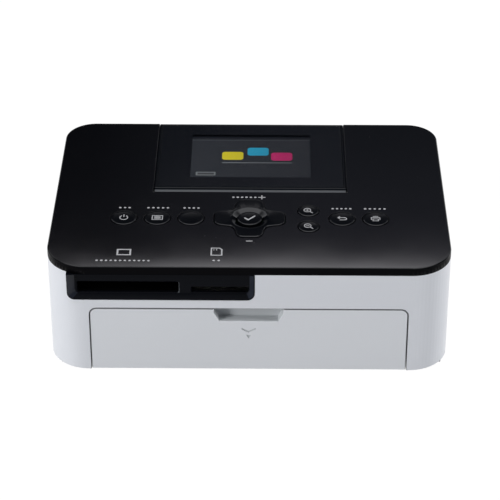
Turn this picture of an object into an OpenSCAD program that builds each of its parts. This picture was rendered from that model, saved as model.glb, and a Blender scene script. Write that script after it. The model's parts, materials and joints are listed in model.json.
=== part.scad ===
// Compact photo printer: a white case under a sloping black top, with a tilting screen, nine keys,
// two card slots, a drop-down paper door in front and an ink door on the right.
// Origin: middle of the footprint, on the table. X is to the right, Y to the back, Z up.

/* [Body] */
// Width of the case
body_w = 178; // [174:1:184]
// Depth of the case
body_d = 127; // [125:1:133]
// Height of the top surface at the front edge
front_h = 56.4; // [56:0.2:58]
// Height of the top surface at the back edge
rear_h = 60.5; // [60:0.5:63]
// Plan radius of the two front corners
front_r = 18; // [14:0.5:20]
// Plan radius of the two back corners
rear_r = 14; // [11:0.5:16]
// Wall thickness of the case
wall = 2.2; // [1.8:0.1:2.4]
// Height of the case's lower edge above the table
ground_gap = 3; // [2.6:0.1:3.6]
// Radius of a rubber foot
foot_r = 5.5; // [4:0.5:7]

/* [Top cover] */
// Height of the black rim that shows round the top
rim_h = 3.7; // [3:0.1:4.2]
// Thickness of the black top plate
plate_t = 2.2; // [1.8:0.1:2.4]
// Depth of the lip that drops inside the case
lip_h = 2.4; // [1.5:0.1:3]
// Thickness of that lip
lip_t = 1.4; // [1:0.1:1.8]

/* [Screen] */
// Width of the tilting screen unit
screen_w = 88.4; // [80:0.2:90]
// Thickness of the screen unit
screen_t = 7; // [6.4:0.1:7.2]
// Distance of the screen unit's front edge from the middle of the case
screen_front = 0; // [-1:0.5:4]
// Width of the picture area
picture_w = 56.4; // [50:0.2:60]
// Depth of the picture area
picture_d = 39.6; // [36:0.2:41]
// Running gap around the screen unit
screen_gap = 0.4; // [0.3:0.05:0.7]
// Thickness of the clear window over the picture
window_t = 1.1; // [0.8:0.1:1.3]
// Radius of the screen's hinge pins
pin_r = 1.5; // [1.2:0.1:1.7]

/* [Keys] */
// Distance between neighbouring keys in the row
key_pitch = 15.1; // [14.2:0.1:15.6]
// Distance of the row of keys in front of the middle of the case
key_row = 23.2; // [22:0.2:24]
// Radius of a round key
key_r = 5.8; // [5:0.1:6.2]
// Radius of a zoom key
zoom_r = 4.7; // [4:0.1:5]
// Distance of each zoom key's middle from the row
zoom_offset = 6.6; // [6:0.1:7.4]
// Gap around a key
key_gap = 0.35; // [0.25:0.05:0.5]
// Travel of a key
key_travel = 0.6; // [0.3:0.1:0.7]
// Reach of the four-way key's arms
cross_reach = 15.8; // [14.8:0.2:16.4]
// Half the width of the four-way key's arms
cross_arm = 6.4; // [5.8:0.1:7]
// Radius of the four-way key between its arms
cross_waist = 10.1; // [8.5:0.1:10.4]
// Radius of the middle key
ok_r = 5.6; // [5:0.1:5.8]

/* [Card slots] */
// Width of the black card panel
panel_w = 82.3; // [80:0.1:83]
// Width of the case left of the card panel
panel_beside = 9.4; // [9:0.1:12]
// Height of the card panel's lower edge
panel_z = 39.5; // [39:0.1:39.8]
// Depth of the dish in the card panel
dish_d = 2.5; // [1.5:0.1:2.8]
// Width of the wide card slot
wide_slot_w = 45; // [43.5:0.1:45.5]
// Height of the wide card slot
wide_slot_h = 5.9; // [5.2:0.1:6]
// Width of the narrow card slot
narrow_slot_w = 25.6; // [24.5:0.1:26]
// Height of the narrow card slot
narrow_slot_h = 3.4; // [2.6:0.1:3.8]

/* [Doors] */
// Width of the paper door
paper_door_w = 139.6; // [134:0.2:140.4]
// Height of the paper door's top edge above the case's lower edge
paper_door_h = 32; // [31:0.2:32.4]
// Width of the ink door, along the side
ink_door_w = 84; // [82:0.5:85]
// Height of the ink door's top edge above the case's lower edge
ink_door_h = 46; // [44.5:0.2:46.6]
// Gap around each door
door_gap = 0.35; // [0.25:0.05:0.5]
// Thickness of a door
door_t = 2.2; // [1.8:0.1:2.4]
// Distance of a door's hinge line behind its outer face
hinge_in = 4.7; // [4.6:0.1:5.2]
// Height of a door's hinge line above the case's lower edge
hinge_up = 3.6; // [3.2:0.1:4]
// Radius of a door's hinge pins
door_pin_r = 1.5; // [1.2:0.1:1.7]
// Width of the finger scoop in the paper door
paper_scoop_w = 30.6; // [26:0.2:34]
// Width of the finger scoop in the ink door
ink_scoop_w = 22; // [18:0.5:26]
// Height of a finger scoop
scoop_h = 6.2; // [5.5:0.1:6.8]
// Depth of a finger scoop
scoop_d = 5; // [4.6:0.1:5.2]

/* [Print mechanism] */
// Sideways place of the middle of the paper
paper_x = 8; // [7:0.5:9]
// Width of the case beside the bay for the paper cassette, both sides together
bay_beside = 66; // [65:0.5:70]
// Thickness of the steel side plates
steel_t = 1.2; // [1:0.1:1.5]
// Height of the paper as it passes under the print head
paper_z = 26; // [25.5:0.1:26.2]
// Radius of the steel feed roller
feed_r = 3; // [2.5:0.1:3]
// Radius of the pinch roller
pinch_r = 2.5; // [2:0.1:2.8]
// Radius of the rubber pickup roller
pickup_r = 6; // [5:0.1:6.4]
// Radius of the drive motor's can
motor_r = 11; // [9:0.5:11.5]
// Length of the drive motor's can
motor_l = 21; // [16:0.5:21.5]
// Radius of a barrel of the ink cassette
barrel_r = 9.2; // [9:0.1:9.4]
// Wall thickness of the ink cassette
cassette_t = 0.8; // [0.6:0.1:0.9]
// Height that the head arm turns through, in degrees
head_lift = 2; // [1:0.5:2]

/* [Gears] */
// Gear module
gear_module = 0.6; // [0.58:0.01:0.62]
// Face width of a gear
gear_w = 5; // [4:0.5:5.4]
// Teeth on the feed roller's gear
feed_teeth = 40; // [39:1:41]
// Teeth on the motor's pinion
pinion_teeth = 12; // [11:1:13]
// Teeth on the feed idler
feed_idler_teeth = 16; // [15:1:17]
// Teeth on the platen's gear
platen_teeth = 26; // [25:1:27]
// Teeth on the ribbon idler
ribbon_idler_teeth = 13; // [12:1:14]
// Teeth on the take-up gear
takeup_teeth = 27; // [26:1:28]
// Teeth on the pickup roller's gear
pickup_teeth = 14; // [13:1:15]

/* [Hidden] */
$fn = 64;

// Half sizes, the slope of the top, and the far reach of a cutting block
hw = body_w / 2;
hd = body_d / 2;
slope = atan((rear_h - front_h) / body_d);
far = 300;
small = 0.05;
touch = 0.02;

function top_z(y) = front_h + (y + hd) * tan(slope);
function polar(p, r, a) = [p[0] + r * cos(a), p[1] + r * sin(a)];

// Inside faces of the case
inner_x = hw - wall;
inner_y = hd - wall;
floor_bottom = ground_gap - 0.8;
floor_t = 2;
floor_top = floor_bottom + floor_t;
floor_inset = wall + 0.3;

// Screen unit and the tray that it folds into, as depths below the top surface
tray_wall = 1.4;
tray_gap = 0.6;
tray_floor = screen_t + tray_gap;
tray_bottom = tray_floor + 1.2;
tray_hw = screen_w / 2 + screen_gap + tray_wall;
screen_pivot_r = screen_t / 2;
screen_pivot_y = screen_front + screen_pivot_r;
screen_back = hd - 0.6;
screen_pin_in = 6;
screen_lug_t = 4;
frame_rim = 1.2;
window_front = screen_pivot_y + 0.3;
window_back = screen_back - frame_rim;
picture_front = screen_front + 13;

// Keys: places, and depths below the top surface
key_x = [for (k = [-3.75, -2.75, -1.75]) k * key_pitch];
key_flange = 1;
key_flange_t = 0.7;
key_flange_depth = plate_t + 0.3;
key_stem_depth = key_flange_depth + key_flange_t + 0.8;
cross_bottom = plate_t + 1.4;
pad_r = 8.5;
pad_w = 1.6;
pad_post = 0.65;
pad_t = 0.4;
ridge_r = 0.4;
key_board_top = cross_bottom + 1.8;
key_board_t = 1.2;
switch_top = key_stem_depth + key_travel + small;
arm_switch_r = 12.6;
arm_switch_top = cross_bottom + 0.65;
// key_x holds the places left of the middle; the right-hand keys mirror them
power_x = key_x[0];
menu_x = key_x[1];
edit_x = key_x[2];

// Card panel and sockets
panel_x0 = -hw + panel_beside;
panel_x1 = panel_x0 + panel_w;
panel_r = 3.5;
panel_face_y = -hd + dish_d;
panel_back_y = panel_face_y + 1.6;
dish_rim = 2;
slot_z = panel_z + 2.3;
wide_slot_x = panel_x0 + 4.3;
narrow_slot_x = panel_x1 - 2.4 - narrow_slot_w;
socket_t = 1.3;
socket_front = panel_back_y + 0.2;
wide_socket_d = 34;
narrow_socket_d = 27;
socket_floor = 2.2;

// Boards
board_t = 1.6;
main_board_top = slot_z - socket_floor;
main_board_z = main_board_top - board_t;
main_board_front = socket_front + 0.6;
main_board_back = socket_front + wide_socket_d - 1;
power_board_z = 10;
power_board_gap = 1.6;

// Door hinges: hinge line of a leaf, in the leaf's own frame, and what it sweeps
leaf_foot = 0.5;
leaf_r = 3;
hinge_barrel_r = 2.6;
hinge_clear = 0.05;
hinge_sweep = sqrt(pow(hinge_in, 2) + pow(hinge_up - leaf_foot, 2)) + 0.6;
lug_t = 3;
lug_gap = 0.4;
lug_r = 2.8;
scoop_wall = 1.4;
ink_door_y = 7.2;

// Gear train, in the plane of Y and Z: each shaft sits where its gear meshes with the one before
function pitch_r(teeth) = gear_module * teeth / 2;
function mesh_turn(a, turn, teeth, next) = a + 180 + 180 / next - (turn - a) * teeth / next;
addendum = 0.8 * gear_module;
dedendum = 1.05 * gear_module;
backlash = 0.05;
pressure = 25;
feed = [-hd + 57.5, paper_z - feed_r];
pinion_angle = 190;
pinion = polar(feed, pitch_r(feed_teeth) + pitch_r(pinion_teeth), pinion_angle);
feed_idler_angle = -14;
feed_idler_at = polar(feed, pitch_r(feed_teeth) + pitch_r(feed_idler_teeth), feed_idler_angle);
platen_angle = 5;
platen = polar(feed_idler_at, pitch_r(feed_idler_teeth) + pitch_r(platen_teeth), platen_angle);
ribbon_idler_angle = 40;
ribbon_idler_at = polar(platen, pitch_r(platen_teeth) + pitch_r(ribbon_idler_teeth), ribbon_idler_angle);
takeup_angle = 52;
takeup = polar(ribbon_idler_at, pitch_r(ribbon_idler_teeth) + pitch_r(takeup_teeth), takeup_angle);
pickup_angle = 138;
pickup = polar(feed, pitch_r(feed_teeth) + pitch_r(pickup_teeth), pickup_angle);
pinion_turn = mesh_turn(pinion_angle, 0, feed_teeth, pinion_teeth);
pickup_turn = mesh_turn(pickup_angle, 0, feed_teeth, pickup_teeth);
feed_idler_turn = mesh_turn(feed_idler_angle, 0, feed_teeth, feed_idler_teeth);
platen_turn = mesh_turn(platen_angle, feed_idler_turn, feed_idler_teeth, platen_teeth);
ribbon_idler_turn = mesh_turn(ribbon_idler_angle, platen_turn, platen_teeth, ribbon_idler_teeth);
takeup_turn = mesh_turn(takeup_angle, ribbon_idler_turn, ribbon_idler_teeth, takeup_teeth);
platen_r = paper_z - platen[1];
supply = [2 * platen[0] - takeup[0], takeup[1]];
pinch = [feed[0], paper_z + 0.15 + pinch_r];

// Sideways places of the mechanism
bay_w = body_w - bay_beside;
plate_gap = 4;
left_plate_x = paper_x - bay_w / 2 - plate_gap;
right_plate_x = paper_x + bay_w / 2 + plate_gap;
gear_x = left_plate_x - steel_t - 1.3 - gear_w;
bracket_x = gear_x - 1.5 - steel_t;
power_board_right = bracket_x - power_board_gap;
shaft_left = gear_x - 0.6;
shaft_right = right_plate_x + steel_t + 1.3;
shaft_clear = 0.05;
roller_gap = 1;
stud_r = 1.5;
thin_shaft_r = 2;
journal_r = 1.5;

// Ink cassette, head and its arm
cassette_left = left_plate_x + 1.5;
cassette_wall = 1.5;
cassette_block = right_plate_x - 2;
cassette_right = inner_x - 5.8;
barrel_in = barrel_r - cassette_t;
window_clear = 0.5;
spool_r = 3;
flange_r = barrel_in - 0.5;
supply_roll_r = flange_r - 0.9;
takeup_roll_r = 5;
film_t = 0.12;
film_z = paper_z + 0.25;
film_half = 5.5;
head_z = paper_z + 0.45;
head_board_t = 1.5;
head_half = 4;
sink_half = 4.8;
sink_top = takeup[1] + 6;
arm_z = takeup[1] + barrel_r + 0.6;
arm_t = 1.2;
head_pivot = [hd - 7.5, arm_z + arm_t / 2];
head_pivot_r = 2.2;
head_w = bay_w - 9;

// Fixings
boss_r = 3.2;
boss_split = 26;
screw_r = 1.4;
screw_head_r = 2.6;
bosses = [[-hw + 7.5, -hd + front_r - 2], [hw - 9.7, -hd + front_r - 1.5],
    [-hw + 8.5, hd - 10.5], [hw - 12.5, hd - 7]];
foot_x = hw - 21;
foot_y = [-hd + 21.5, hd - 17.5];

// ---- Outlines and helpers ----

// The case seen from above, drawn in by a given amount
module plan(inset = 0) {
    w = hw - inset;
    d = hd - inset;
    f = front_r - inset;
    r = rear_r - inset;
    polygon([[-w + f, -d], [w - f, -d], [w, -d + f], [w, d - r], [w - r, d], [-w + r, d], [-w, d - r],
        [-w, -d + f]]);
    for (s = [-1, 1]) {
        translate([s * (w - f), -d + f]) circle(f);
        translate([s * (w - r), d - r]) circle(r);
    }
}

// What lies between two depths below the sloping top
module between_depths(shallow, deep) {
    intersection() {
        children();
        translate([0, -hd, front_h]) rotate([slope, 0, 0])
            translate([-far / 2, -far / 2, -deep]) cube([far, 2 * far, deep - shallow]);
    }
}

// Places children on the sloping top, with their own Z at right angles to it
module on_top(x = 0, y = 0) {
    translate([x, y, top_z(y)]) rotate([slope, 0, 0]) children();
}

// Extrudes a drawing in X and Z from y0 towards the back
module slab_y(y0, length) {
    translate([0, y0 + length, 0]) rotate([90, 0, 0]) linear_extrude(length) children();
}

// Extrudes a drawing in Y and Z from x0 to the right
module slab_x(x0, length) {
    translate([x0, 0, 0]) rotate([90, 0, 90]) linear_extrude(length) children();
}

// A round bar along X through a point in Y and Z
module rod_x(p, x0, x1, r) {
    translate([x0, p[0], p[1]]) rotate([0, 90, 0]) cylinder(h = x1 - x0, r = r);
}

// A round bar along Y through a point in X and Z
module rod_y(p, y0, y1, r) {
    translate([p[0], y1, p[1]]) rotate([90, 0, 0]) cylinder(h = y1 - y0, r = r);
}

// A rectangle from one corner to the other with all four corners round
module round_box(x0, x1, y0, y1, r) {
    translate([x0 + r, y0]) square([x1 - x0 - 2 * r, y1 - y0]);
    translate([x0, y0 + r]) square([x1 - x0, y1 - y0 - 2 * r]);
    for (x = [x0 + r, x1 - r], y = [y0 + r, y1 - r]) translate([x, y]) circle(r);
}

// A rectangle that stands on z = y0, with its two upper corners round
module door_shape(w, y0, y1, r) {
    translate([-w / 2, y0]) square([w, y1 - y0 - r]);
    translate([-w / 2 + r, y0]) square([w - 2 * r, y1 - y0]);
    for (s = [-1, 1]) translate([s * (w / 2 - r), y1 - r]) circle(r);
}

// The four-way key's outline: two rounded bars and a disc, blended at the waist
function bar_reach(a, long, wide) = pow(pow(abs(cos(a)) / long, 5) + pow(abs(sin(a)) / wide, 5), -0.2);
function cross_radius(a, grow) = grow + pow(pow(bar_reach(a, cross_reach, cross_arm), 9)
    + pow(bar_reach(a + 90, cross_reach, cross_arm), 9) + pow(cross_waist, 9), 1 / 9);
module cross_shape(grow = 0) {
    polygon([for (a = [0 : 5 : 355]) cross_radius(a, grow) * [cos(a), sin(a)]]);
}

// A spur gear with stub teeth whose flanks are involutes
function involute(a) = tan(a) * 180 / PI - a;
function tooth_half(r, base, teeth) = 90 / teeth - backlash / pitch_r(teeth) * 180 / PI
    + involute(pressure) - involute(acos(min(1, base / r)));
module gear_shape(teeth, turn, bore) {
    p = pitch_r(teeth);
    base = p * cos(pressure);
    tip = p + addendum;
    root = p - dedendum;
    start = max(base, root);
    radii = [for (k = [0 : 3]) start + (tip - start) * k / 3];
    flank = [for (r = radii) [r, tooth_half(r, base, teeth)]];
    foot = [[root, flank[0][1]]];
    side = concat(foot, flank);
    difference() {
        polygon([for (i = [0 : teeth - 1]) each concat(
            [for (s = side) polar([0, 0], s[0], turn + i * 360 / teeth - s[1])],
            [for (k = [len(side) - 1 : -1 : 0])
                polar([0, 0], side[k][0], turn + i * 360 / teeth + side[k][1])])]);
        circle(bore);
    }
}
module gear(at, teeth, turn, bore, hub = 0) {
    slab_x(gear_x, gear_w) translate(at) gear_shape(teeth, turn, bore);
    if (hub > 0) difference() {
        rod_x(at, gear_x + gear_w - small, gear_x + gear_w + 0.8, hub);
        rod_x(at, gear_x, gear_x + gear_w + 1, bore);
    }
}

// A row of upright vent slots, drawn in a plane
module vent_row(count, pitch, x0, z0, w, h) {
    for (i = [0 : count - 1]) round_slot(x0 + i * pitch, z0, w, h);
}
module round_slot(x, z, w, h) {
    translate([x - w / 2, z + w / 2]) square([w, h - w]);
    for (v = [z + w / 2, z + h - w / 2]) translate([x, v]) circle(w / 2);
}

// ---- Case ----

rear_slot_half = 54;
rear_slot_low = paper_z - 3.4;
rear_slot_high = paper_z + 4;
dc_x = -hw + 19;
dc_z = power_board_z + board_t + 5;
host_usb_y = -36;
host_usb_z = main_board_top + 3.6;
device_usb_y = 30;
device_usb_z = power_board_z + board_t + 4.4;

// White ring of the case, open above and below
module outer_shell() {
    color("gainsboro") difference() {
        between_depths(rim_h, far / 2) difference() {
            translate([0, 0, ground_gap]) linear_extrude(far / 2) plan();
            translate([0, 0, ground_gap - 1]) linear_extrude(far / 2 + 2) plan(wall);
        }
        // paper door
        slab_y(-hd - 1, wall + 2)
            door_shape(paper_door_w + 2 * door_gap, 0, ground_gap + paper_door_h + door_gap, leaf_r + door_gap);
        // card panel
        slab_y(-hd - 1, 7) round_box(panel_x0, panel_x1, panel_z, far / 2, panel_r);
        // ink door
        slab_x(inner_x - 1, wall + 2) translate([ink_door_y, 0])
            door_shape(ink_door_w + 2 * door_gap, 0, ground_gap + ink_door_h + door_gap, leaf_r + door_gap);
        // slot that the paper passes through at the back
        slab_y(inner_y - 1, wall + 2)
            round_box(paper_x - rear_slot_half, paper_x + rear_slot_half, rear_slot_low, rear_slot_high, 2);
        // back edge of the screen's tray
        between_depths(-1, tray_bottom + 0.2)
            translate([-tray_hw - 0.2, inner_y - 1, 0]) cube([2 * tray_hw + 0.4, wall + 2, far / 2]);
        // power inlet, sockets, lock slot and vents
        rod_y([dc_x, dc_z], inner_y - 2, hd + 1, 4.4);
        slab_x(-hw - 1, wall + 2) {
            round_box(host_usb_y - 7, host_usb_y + 7, host_usb_z - 3.6, host_usb_z + 3.6, 0.8);
            round_box(device_usb_y - 5, device_usb_y + 5, device_usb_z - 4.6, device_usb_z + 4.6, 0.8);
            vent_row(8, 4.5, -8, 30, 1.8, 13);
        }
        slab_y(inner_y - 1, wall + 2) {
            vent_row(6, 4.5, 51, 35, 1.8, 11);
            vent_row(6, 4.5, -73.5, 35, 1.8, 11);
            round_box(70, 77, 12, 15, 1);
        }
    }
}

// A pair of ears that carry a door's pins, in the door's own frame
module hinge_ears(w) {
    for (s = [-1, 1]) translate([s * (w / 2 + lug_gap + lug_t / 2), 0, 0]) difference() {
        translate([-lug_t / 2, wall + 0.6, floor_bottom - ground_gap])
            cube([lug_t, hinge_in + lug_r - wall - 0.6, hinge_up + lug_r + ground_gap - floor_bottom]);
        translate([-lug_t, hinge_in, hinge_up]) rotate([0, 90, 0])
            cylinder(h = 2 * lug_t, r = door_pin_r + hinge_clear);
    }
}
// A door's own frame is its lower edge, with Y pointing into the case
module at_paper_door() {
    translate([0, -hd, ground_gap]) children();
}
module at_ink_door() {
    translate([hw, ink_door_y, ground_gap]) rotate([0, 0, 90]) children();
}
module boss(p) {
    translate([p[0], p[1], floor_top - small]) difference() {
        cylinder(h = boss_split - floor_top, r = boss_r);
        translate([0, 0, -1]) cylinder(h = boss_split, r = screw_r + 0.25);
    }
}
// A notch in the floor that a door's lower edge turns through
module sweep_notch(w) {
    translate([-w / 2 - door_gap - 0.3, -1, -far / 2])
        cube([w + 2 * door_gap + 0.6, hinge_in + hinge_sweep + 1, far]);
}
module lower_case() {
    rail_back = feed[0] - 21;
    color("lightgray") {
        difference() {
            translate([0, 0, floor_bottom]) linear_extrude(floor_t) plan(floor_inset);
            at_paper_door() sweep_notch(paper_door_w);
            at_ink_door() sweep_notch(ink_door_w);
            for (p = bosses) translate([p[0], p[1], 0]) {
                cylinder(h = floor_top + 1, r = screw_r + 0.25);
                cylinder(h = floor_bottom + 1, r = screw_head_r + 0.3);
            }
            for (x = [-foot_x, foot_x], y = foot_y) translate([x, y, 0]) cylinder(h = 9, r = 1.5 + touch);
            translate([0, 0, floor_bottom - 1]) linear_extrude(floor_t + 2) {
                vent_row(9, 5, -20, 36, 2, 16);
            }
        }
        for (p = bosses) boss(p);
        at_paper_door() hinge_ears(paper_door_w);
        at_ink_door() hinge_ears(ink_door_w);
        // rails that guide the paper cassette
        for (x = [paper_x - bay_w / 2 - 1.6, paper_x + bay_w / 2])
            translate([x, -hd + hinge_in + hinge_sweep + 1, floor_top - small])
                cube([1.6, rail_back + hd - hinge_in - hinge_sweep - 1, 20]);
        // posts under the power board
        for (x = [-80, power_board_right - 4], y = [14, 42])
            translate([x, y, floor_top - small]) cylinder(h = power_board_z - floor_top + small - touch, r = 2.5);
        // sill under the right front corner
        translate([hw - 6.6, -hd + 11, 0.5]) cube([4, ink_door_y - ink_door_w / 2 + hd - 11 - 1, floor_bottom]);
    }
}
module feet() {
    color("dimgray") for (x = [-foot_x, foot_x], y = foot_y) translate([x, y, 0]) {
        cylinder(h = floor_bottom - touch, r = foot_r);
        cylinder(h = floor_top - 0.2, r = 1.5);
    }
}

// Screws from below, through the lower case into the posts of the top cover
module case_screws() {
    color("silver") for (p = bosses) translate([p[0], p[1], 0]) {
        translate([0, 0, floor_bottom + 0.1]) cylinder(h = 0.9 - touch, r = screw_head_r);
        translate([0, 0, floor_bottom + 0.5]) cylinder(h = boss_split + 9 - floor_bottom, r = screw_r);
    }
}

// Black top: plate, rim, inner lip, the screen's tray and the posts that the case screws bite into
module top_cover() {
    color("black") difference() {
        union() {
            between_depths(0, plate_t) linear_extrude(far / 2) plan();
            between_depths(plate_t - small, rim_h) difference() {
                linear_extrude(far / 2) plan();
                linear_extrude(far / 2) plan(wall);
            }
            between_depths(plate_t - small, rim_h + lip_h) difference() {
                linear_extrude(far / 2) plan(wall + 0.2);
                linear_extrude(far / 2) plan(wall + 0.2 + lip_t);
                translate([panel_x0 - 2, -hd - 1, 0]) cube([panel_w + 4, wall + 6, far / 2]);
                translate([hw - front_r, ink_door_y - ink_door_w / 2 - 1, 0]) cube([front_r, ink_door_w + 2, far / 2]);
            }
            between_depths(plate_t - small, tray_bottom)
                translate([-tray_hw, screen_front - screen_gap - tray_wall, 0])
                    cube([2 * tray_hw, hd - screen_front + screen_gap + tray_wall, far / 2]);
            // ears for the screen's hinge pins
            for (s = [-1, 1]) between_depths(plate_t - small, tray_bottom)
                translate([s * (tray_hw + screen_lug_t / 2 - small) - screen_lug_t / 2,
                    screen_pivot_y - 3, 0]) cube([screen_lug_t, 6, far / 2]);
            for (p = bosses) translate([p[0], p[1], boss_split + 0.1])
                cylinder(h = top_z(p[1]) - boss_split - 1, r = boss_r);
        }
        // the tray's hollow, open at the back
        on_top() translate([-screen_w / 2 - screen_gap, screen_front - screen_gap, -tray_floor])
            cube([screen_w + 2 * screen_gap, far, far]);
        screen_pin_line() rotate([0, 90, 0])
            translate([0, 0, -tray_hw - screen_lug_t - 1]) cylinder(h = 2 * tray_hw + 2 * screen_lug_t + 2, r = pin_r + touch);
        for (x = [power_x, menu_x, edit_x, -menu_x, -power_x]) key_hole(x, -key_row, key_r);
        for (s = [-1, 1]) key_hole(-edit_x, -key_row + s * zoom_offset, zoom_r);
        on_top(0, -key_row) translate([0, 0, -5]) linear_extrude(10) cross_shape(key_gap);
        for (p = bosses) translate([p[0], p[1], 0]) cylinder(h = boss_split + 14, r = screw_r + touch);
    }
}
module key_hole(x, y, r) {
    on_top(x, y) translate([0, 0, -plate_t - 2]) cylinder(h = far, r = r + key_gap);
}

// Dished panel with the two card slots, following the case round its left corner
module card_panel() {
    g = 0.15;
    color("black") difference() {
        between_depths(rim_h + 0.1, far / 2) intersection() {
            linear_extrude(far / 2) plan();
            slab_y(-hd - 1, panel_back_y + hd + 1) round_box(panel_x0 + g, panel_x1 - g, panel_z + g, far / 2, panel_r - g);
        }
        between_depths(rim_h + 1.1, far / 2) slab_y(-hd - 1, dish_d + 1)
            round_box(panel_x0 + dish_rim, panel_x1 - dish_rim, panel_z + 1.8, far / 2, panel_r - 1);
        slab_y(-hd - 1, 9) {
            translate([wide_slot_x, slot_z]) square([wide_slot_w, wide_slot_h]);
            translate([narrow_slot_x, slot_z]) square([narrow_slot_w, narrow_slot_h]);
        }
    }
}

// ---- Doors ----

// A door leaf with its hinge barrel, pins and finger scoop, in the door's own frame
module door_leaf(w, h, scoop_w) {
    difference() {
        union() {
            slab_y(0, door_t) door_shape(w, leaf_foot, h, leaf_r);
            translate([-w / 2 + 1, hinge_in, hinge_up]) rotate([0, 90, 0]) cylinder(h = w - 2, r = hinge_barrel_r);
            translate([-w / 2 + 1, door_t - small, hinge_up - 1.2]) cube([w - 2, hinge_in - door_t, 2.4]);
            translate([-w / 2 - lug_gap - lug_t + 0.3, hinge_in, hinge_up]) rotate([0, 90, 0])
                cylinder(h = w + 2 * (lug_gap + lug_t) - 0.6, r = door_pin_r);
            translate([-scoop_w / 2 - scoop_wall, door_t - small, h - scoop_h - scoop_wall])
                cube([scoop_w + 2 * scoop_wall, scoop_d - door_t + scoop_wall, scoop_h + scoop_wall - leaf_r / 2]);
            // stiffening ribs
            for (k = [-0.4, -0.2, 0.2, 0.4]) translate([k * w - 0.6, door_t - small, hinge_up + 3])
                cube([1.2, 1.6, h - hinge_up - 7]);
        }
        // scoop, open to the front and at the door's top edge
        slab_y(-1, scoop_d + 1) polygon([[-scoop_w / 2, h + 1], [scoop_w / 2, h + 1], [scoop_w / 2, h - 2],
            [scoop_w / 2 - 2.2, h - scoop_h], [-scoop_w / 2 + 2.2, h - scoop_h], [-scoop_w / 2, h - 2]]);
    }
}
module paper_door() {
    color("whitesmoke") at_paper_door() door_leaf(paper_door_w, paper_door_h, paper_scoop_w);
}
module ink_door() {
    color("whitesmoke") at_ink_door() door_leaf(ink_door_w, ink_door_h, ink_scoop_w);
}

// ---- Screen ----

// The line of the screen's hinge pins
module screen_pin_line() {
    on_top(0, 0) translate([0, screen_pivot_y, -screen_pivot_r]) children();
}
module screen_frame() {
    pocket_depth = window_t + 3.2;
    color("black") difference() {
        union() {
            on_top() translate([-screen_w / 2, screen_pivot_y, -screen_t])
                cube([screen_w, screen_back - screen_pivot_y, screen_t]);
            screen_pin_line() rotate([0, 90, 0])
                translate([0, 0, -screen_w / 2]) cylinder(h = screen_w, r = screen_pivot_r);
        }
        on_top() {
            translate([-screen_w / 2 + frame_rim, window_front, -window_t])
                cube([screen_w - 2 * frame_rim, window_back - window_front, screen_t]);
            translate([-picture_w / 2 - 1.6, picture_front - 3, -pocket_depth])
                cube([picture_w + 3.2, picture_d + 5, screen_t]);
        }
        screen_pin_line() for (s = [-1, 1]) translate([s * (screen_w / 2 - screen_pin_in / 2), 0, 0])
            rotate([0, 90, 0]) cylinder(h = screen_pin_in + 1, r = pin_r + hinge_clear, center = true);
    }
}
module screen_window() {
    color("midnightblue") on_top()
        translate([-screen_w / 2 + frame_rim + 0.1, window_front + 0.1, -window_t + touch])
            cube([screen_w - 2 * frame_rim - 0.2, window_back - window_front - 0.2, window_t - touch]);
}
module picture_panel() {
    color("dimgray") on_top() translate([-picture_w / 2 - 1, picture_front - 2.4, -window_t - 3])
        cube([picture_w + 2, picture_d + 3.8, 2.95]);
}
module screen_hinge_pins() {
    pin_l = screen_pin_in - 0.8 + screen_gap + tray_wall + screen_lug_t;
    color("silver") screen_pin_line() for (s = [-1, 1])
        translate([s * (screen_w / 2 - screen_pin_in + 0.8 + pin_l / 2), 0, 0])
            rotate([0, 90, 0]) cylinder(h = pin_l, r = pin_r, center = true);
}

// ---- Keys ----

// A round key: cap, retaining flange and stem, its own Z at right angles to the top
module round_key(x, y, r) {
    color("black") on_top(x, y) {
        translate([0, 0, -key_flange_depth]) cylinder(h = key_flange_depth, r = r);
        translate([0, 0, -key_flange_depth - key_flange_t]) cylinder(h = key_flange_t + small, r = r + key_flange);
        translate([0, 0, -key_stem_depth]) cylinder(h = key_stem_depth - key_flange_depth - small, r = 1.6);
    }
}
module power_key() { round_key(power_x, -key_row, key_r); }
module menu_key() { round_key(menu_x, -key_row, key_r); }
module edit_key() { round_key(edit_x, -key_row, key_r); }
module back_key() { round_key(-menu_x, -key_row, key_r); }
module print_key() { round_key(-power_x, -key_row, key_r); }
module zoom_in_key() { round_key(-edit_x, -key_row + zoom_offset, zoom_r); }
module zoom_out_key() { round_key(-edit_x, -key_row - zoom_offset, zoom_r); }
module ok_key() {
    color("black") on_top(0, -key_row) {
        translate([0, 0, -key_flange_depth]) cylinder(h = key_flange_depth, r = ok_r);
        translate([0, 0, -key_stem_depth]) cylinder(h = key_stem_depth - key_flange_depth + small, r = 1.6);
    }
}
// Four-way key with a dished middle for the key inside it
module four_way_key() {
    color("black") on_top(0, -key_row) difference() {
        translate([0, 0, -cross_bottom]) linear_extrude(cross_bottom + 0.4) cross_shape();
        translate([0, 0, -cross_bottom - 1]) cylinder(h = far, r = ok_r + 0.6);
        translate([0, 0, -0.8]) cylinder(h = 1.6, r1 = ok_r + 0.6, r2 = ok_r + 3.4);
        // hollow under the arms
        translate([0, 0, -cross_bottom - 1]) linear_extrude(2.2) difference() {
            cross_shape(-1.4);
            circle(pad_r + 1.6);
            for (a = [0 : 90 : 270]) rotate(a) translate([arm_switch_r, 0]) circle(1.4);
        }
    }
}
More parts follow.
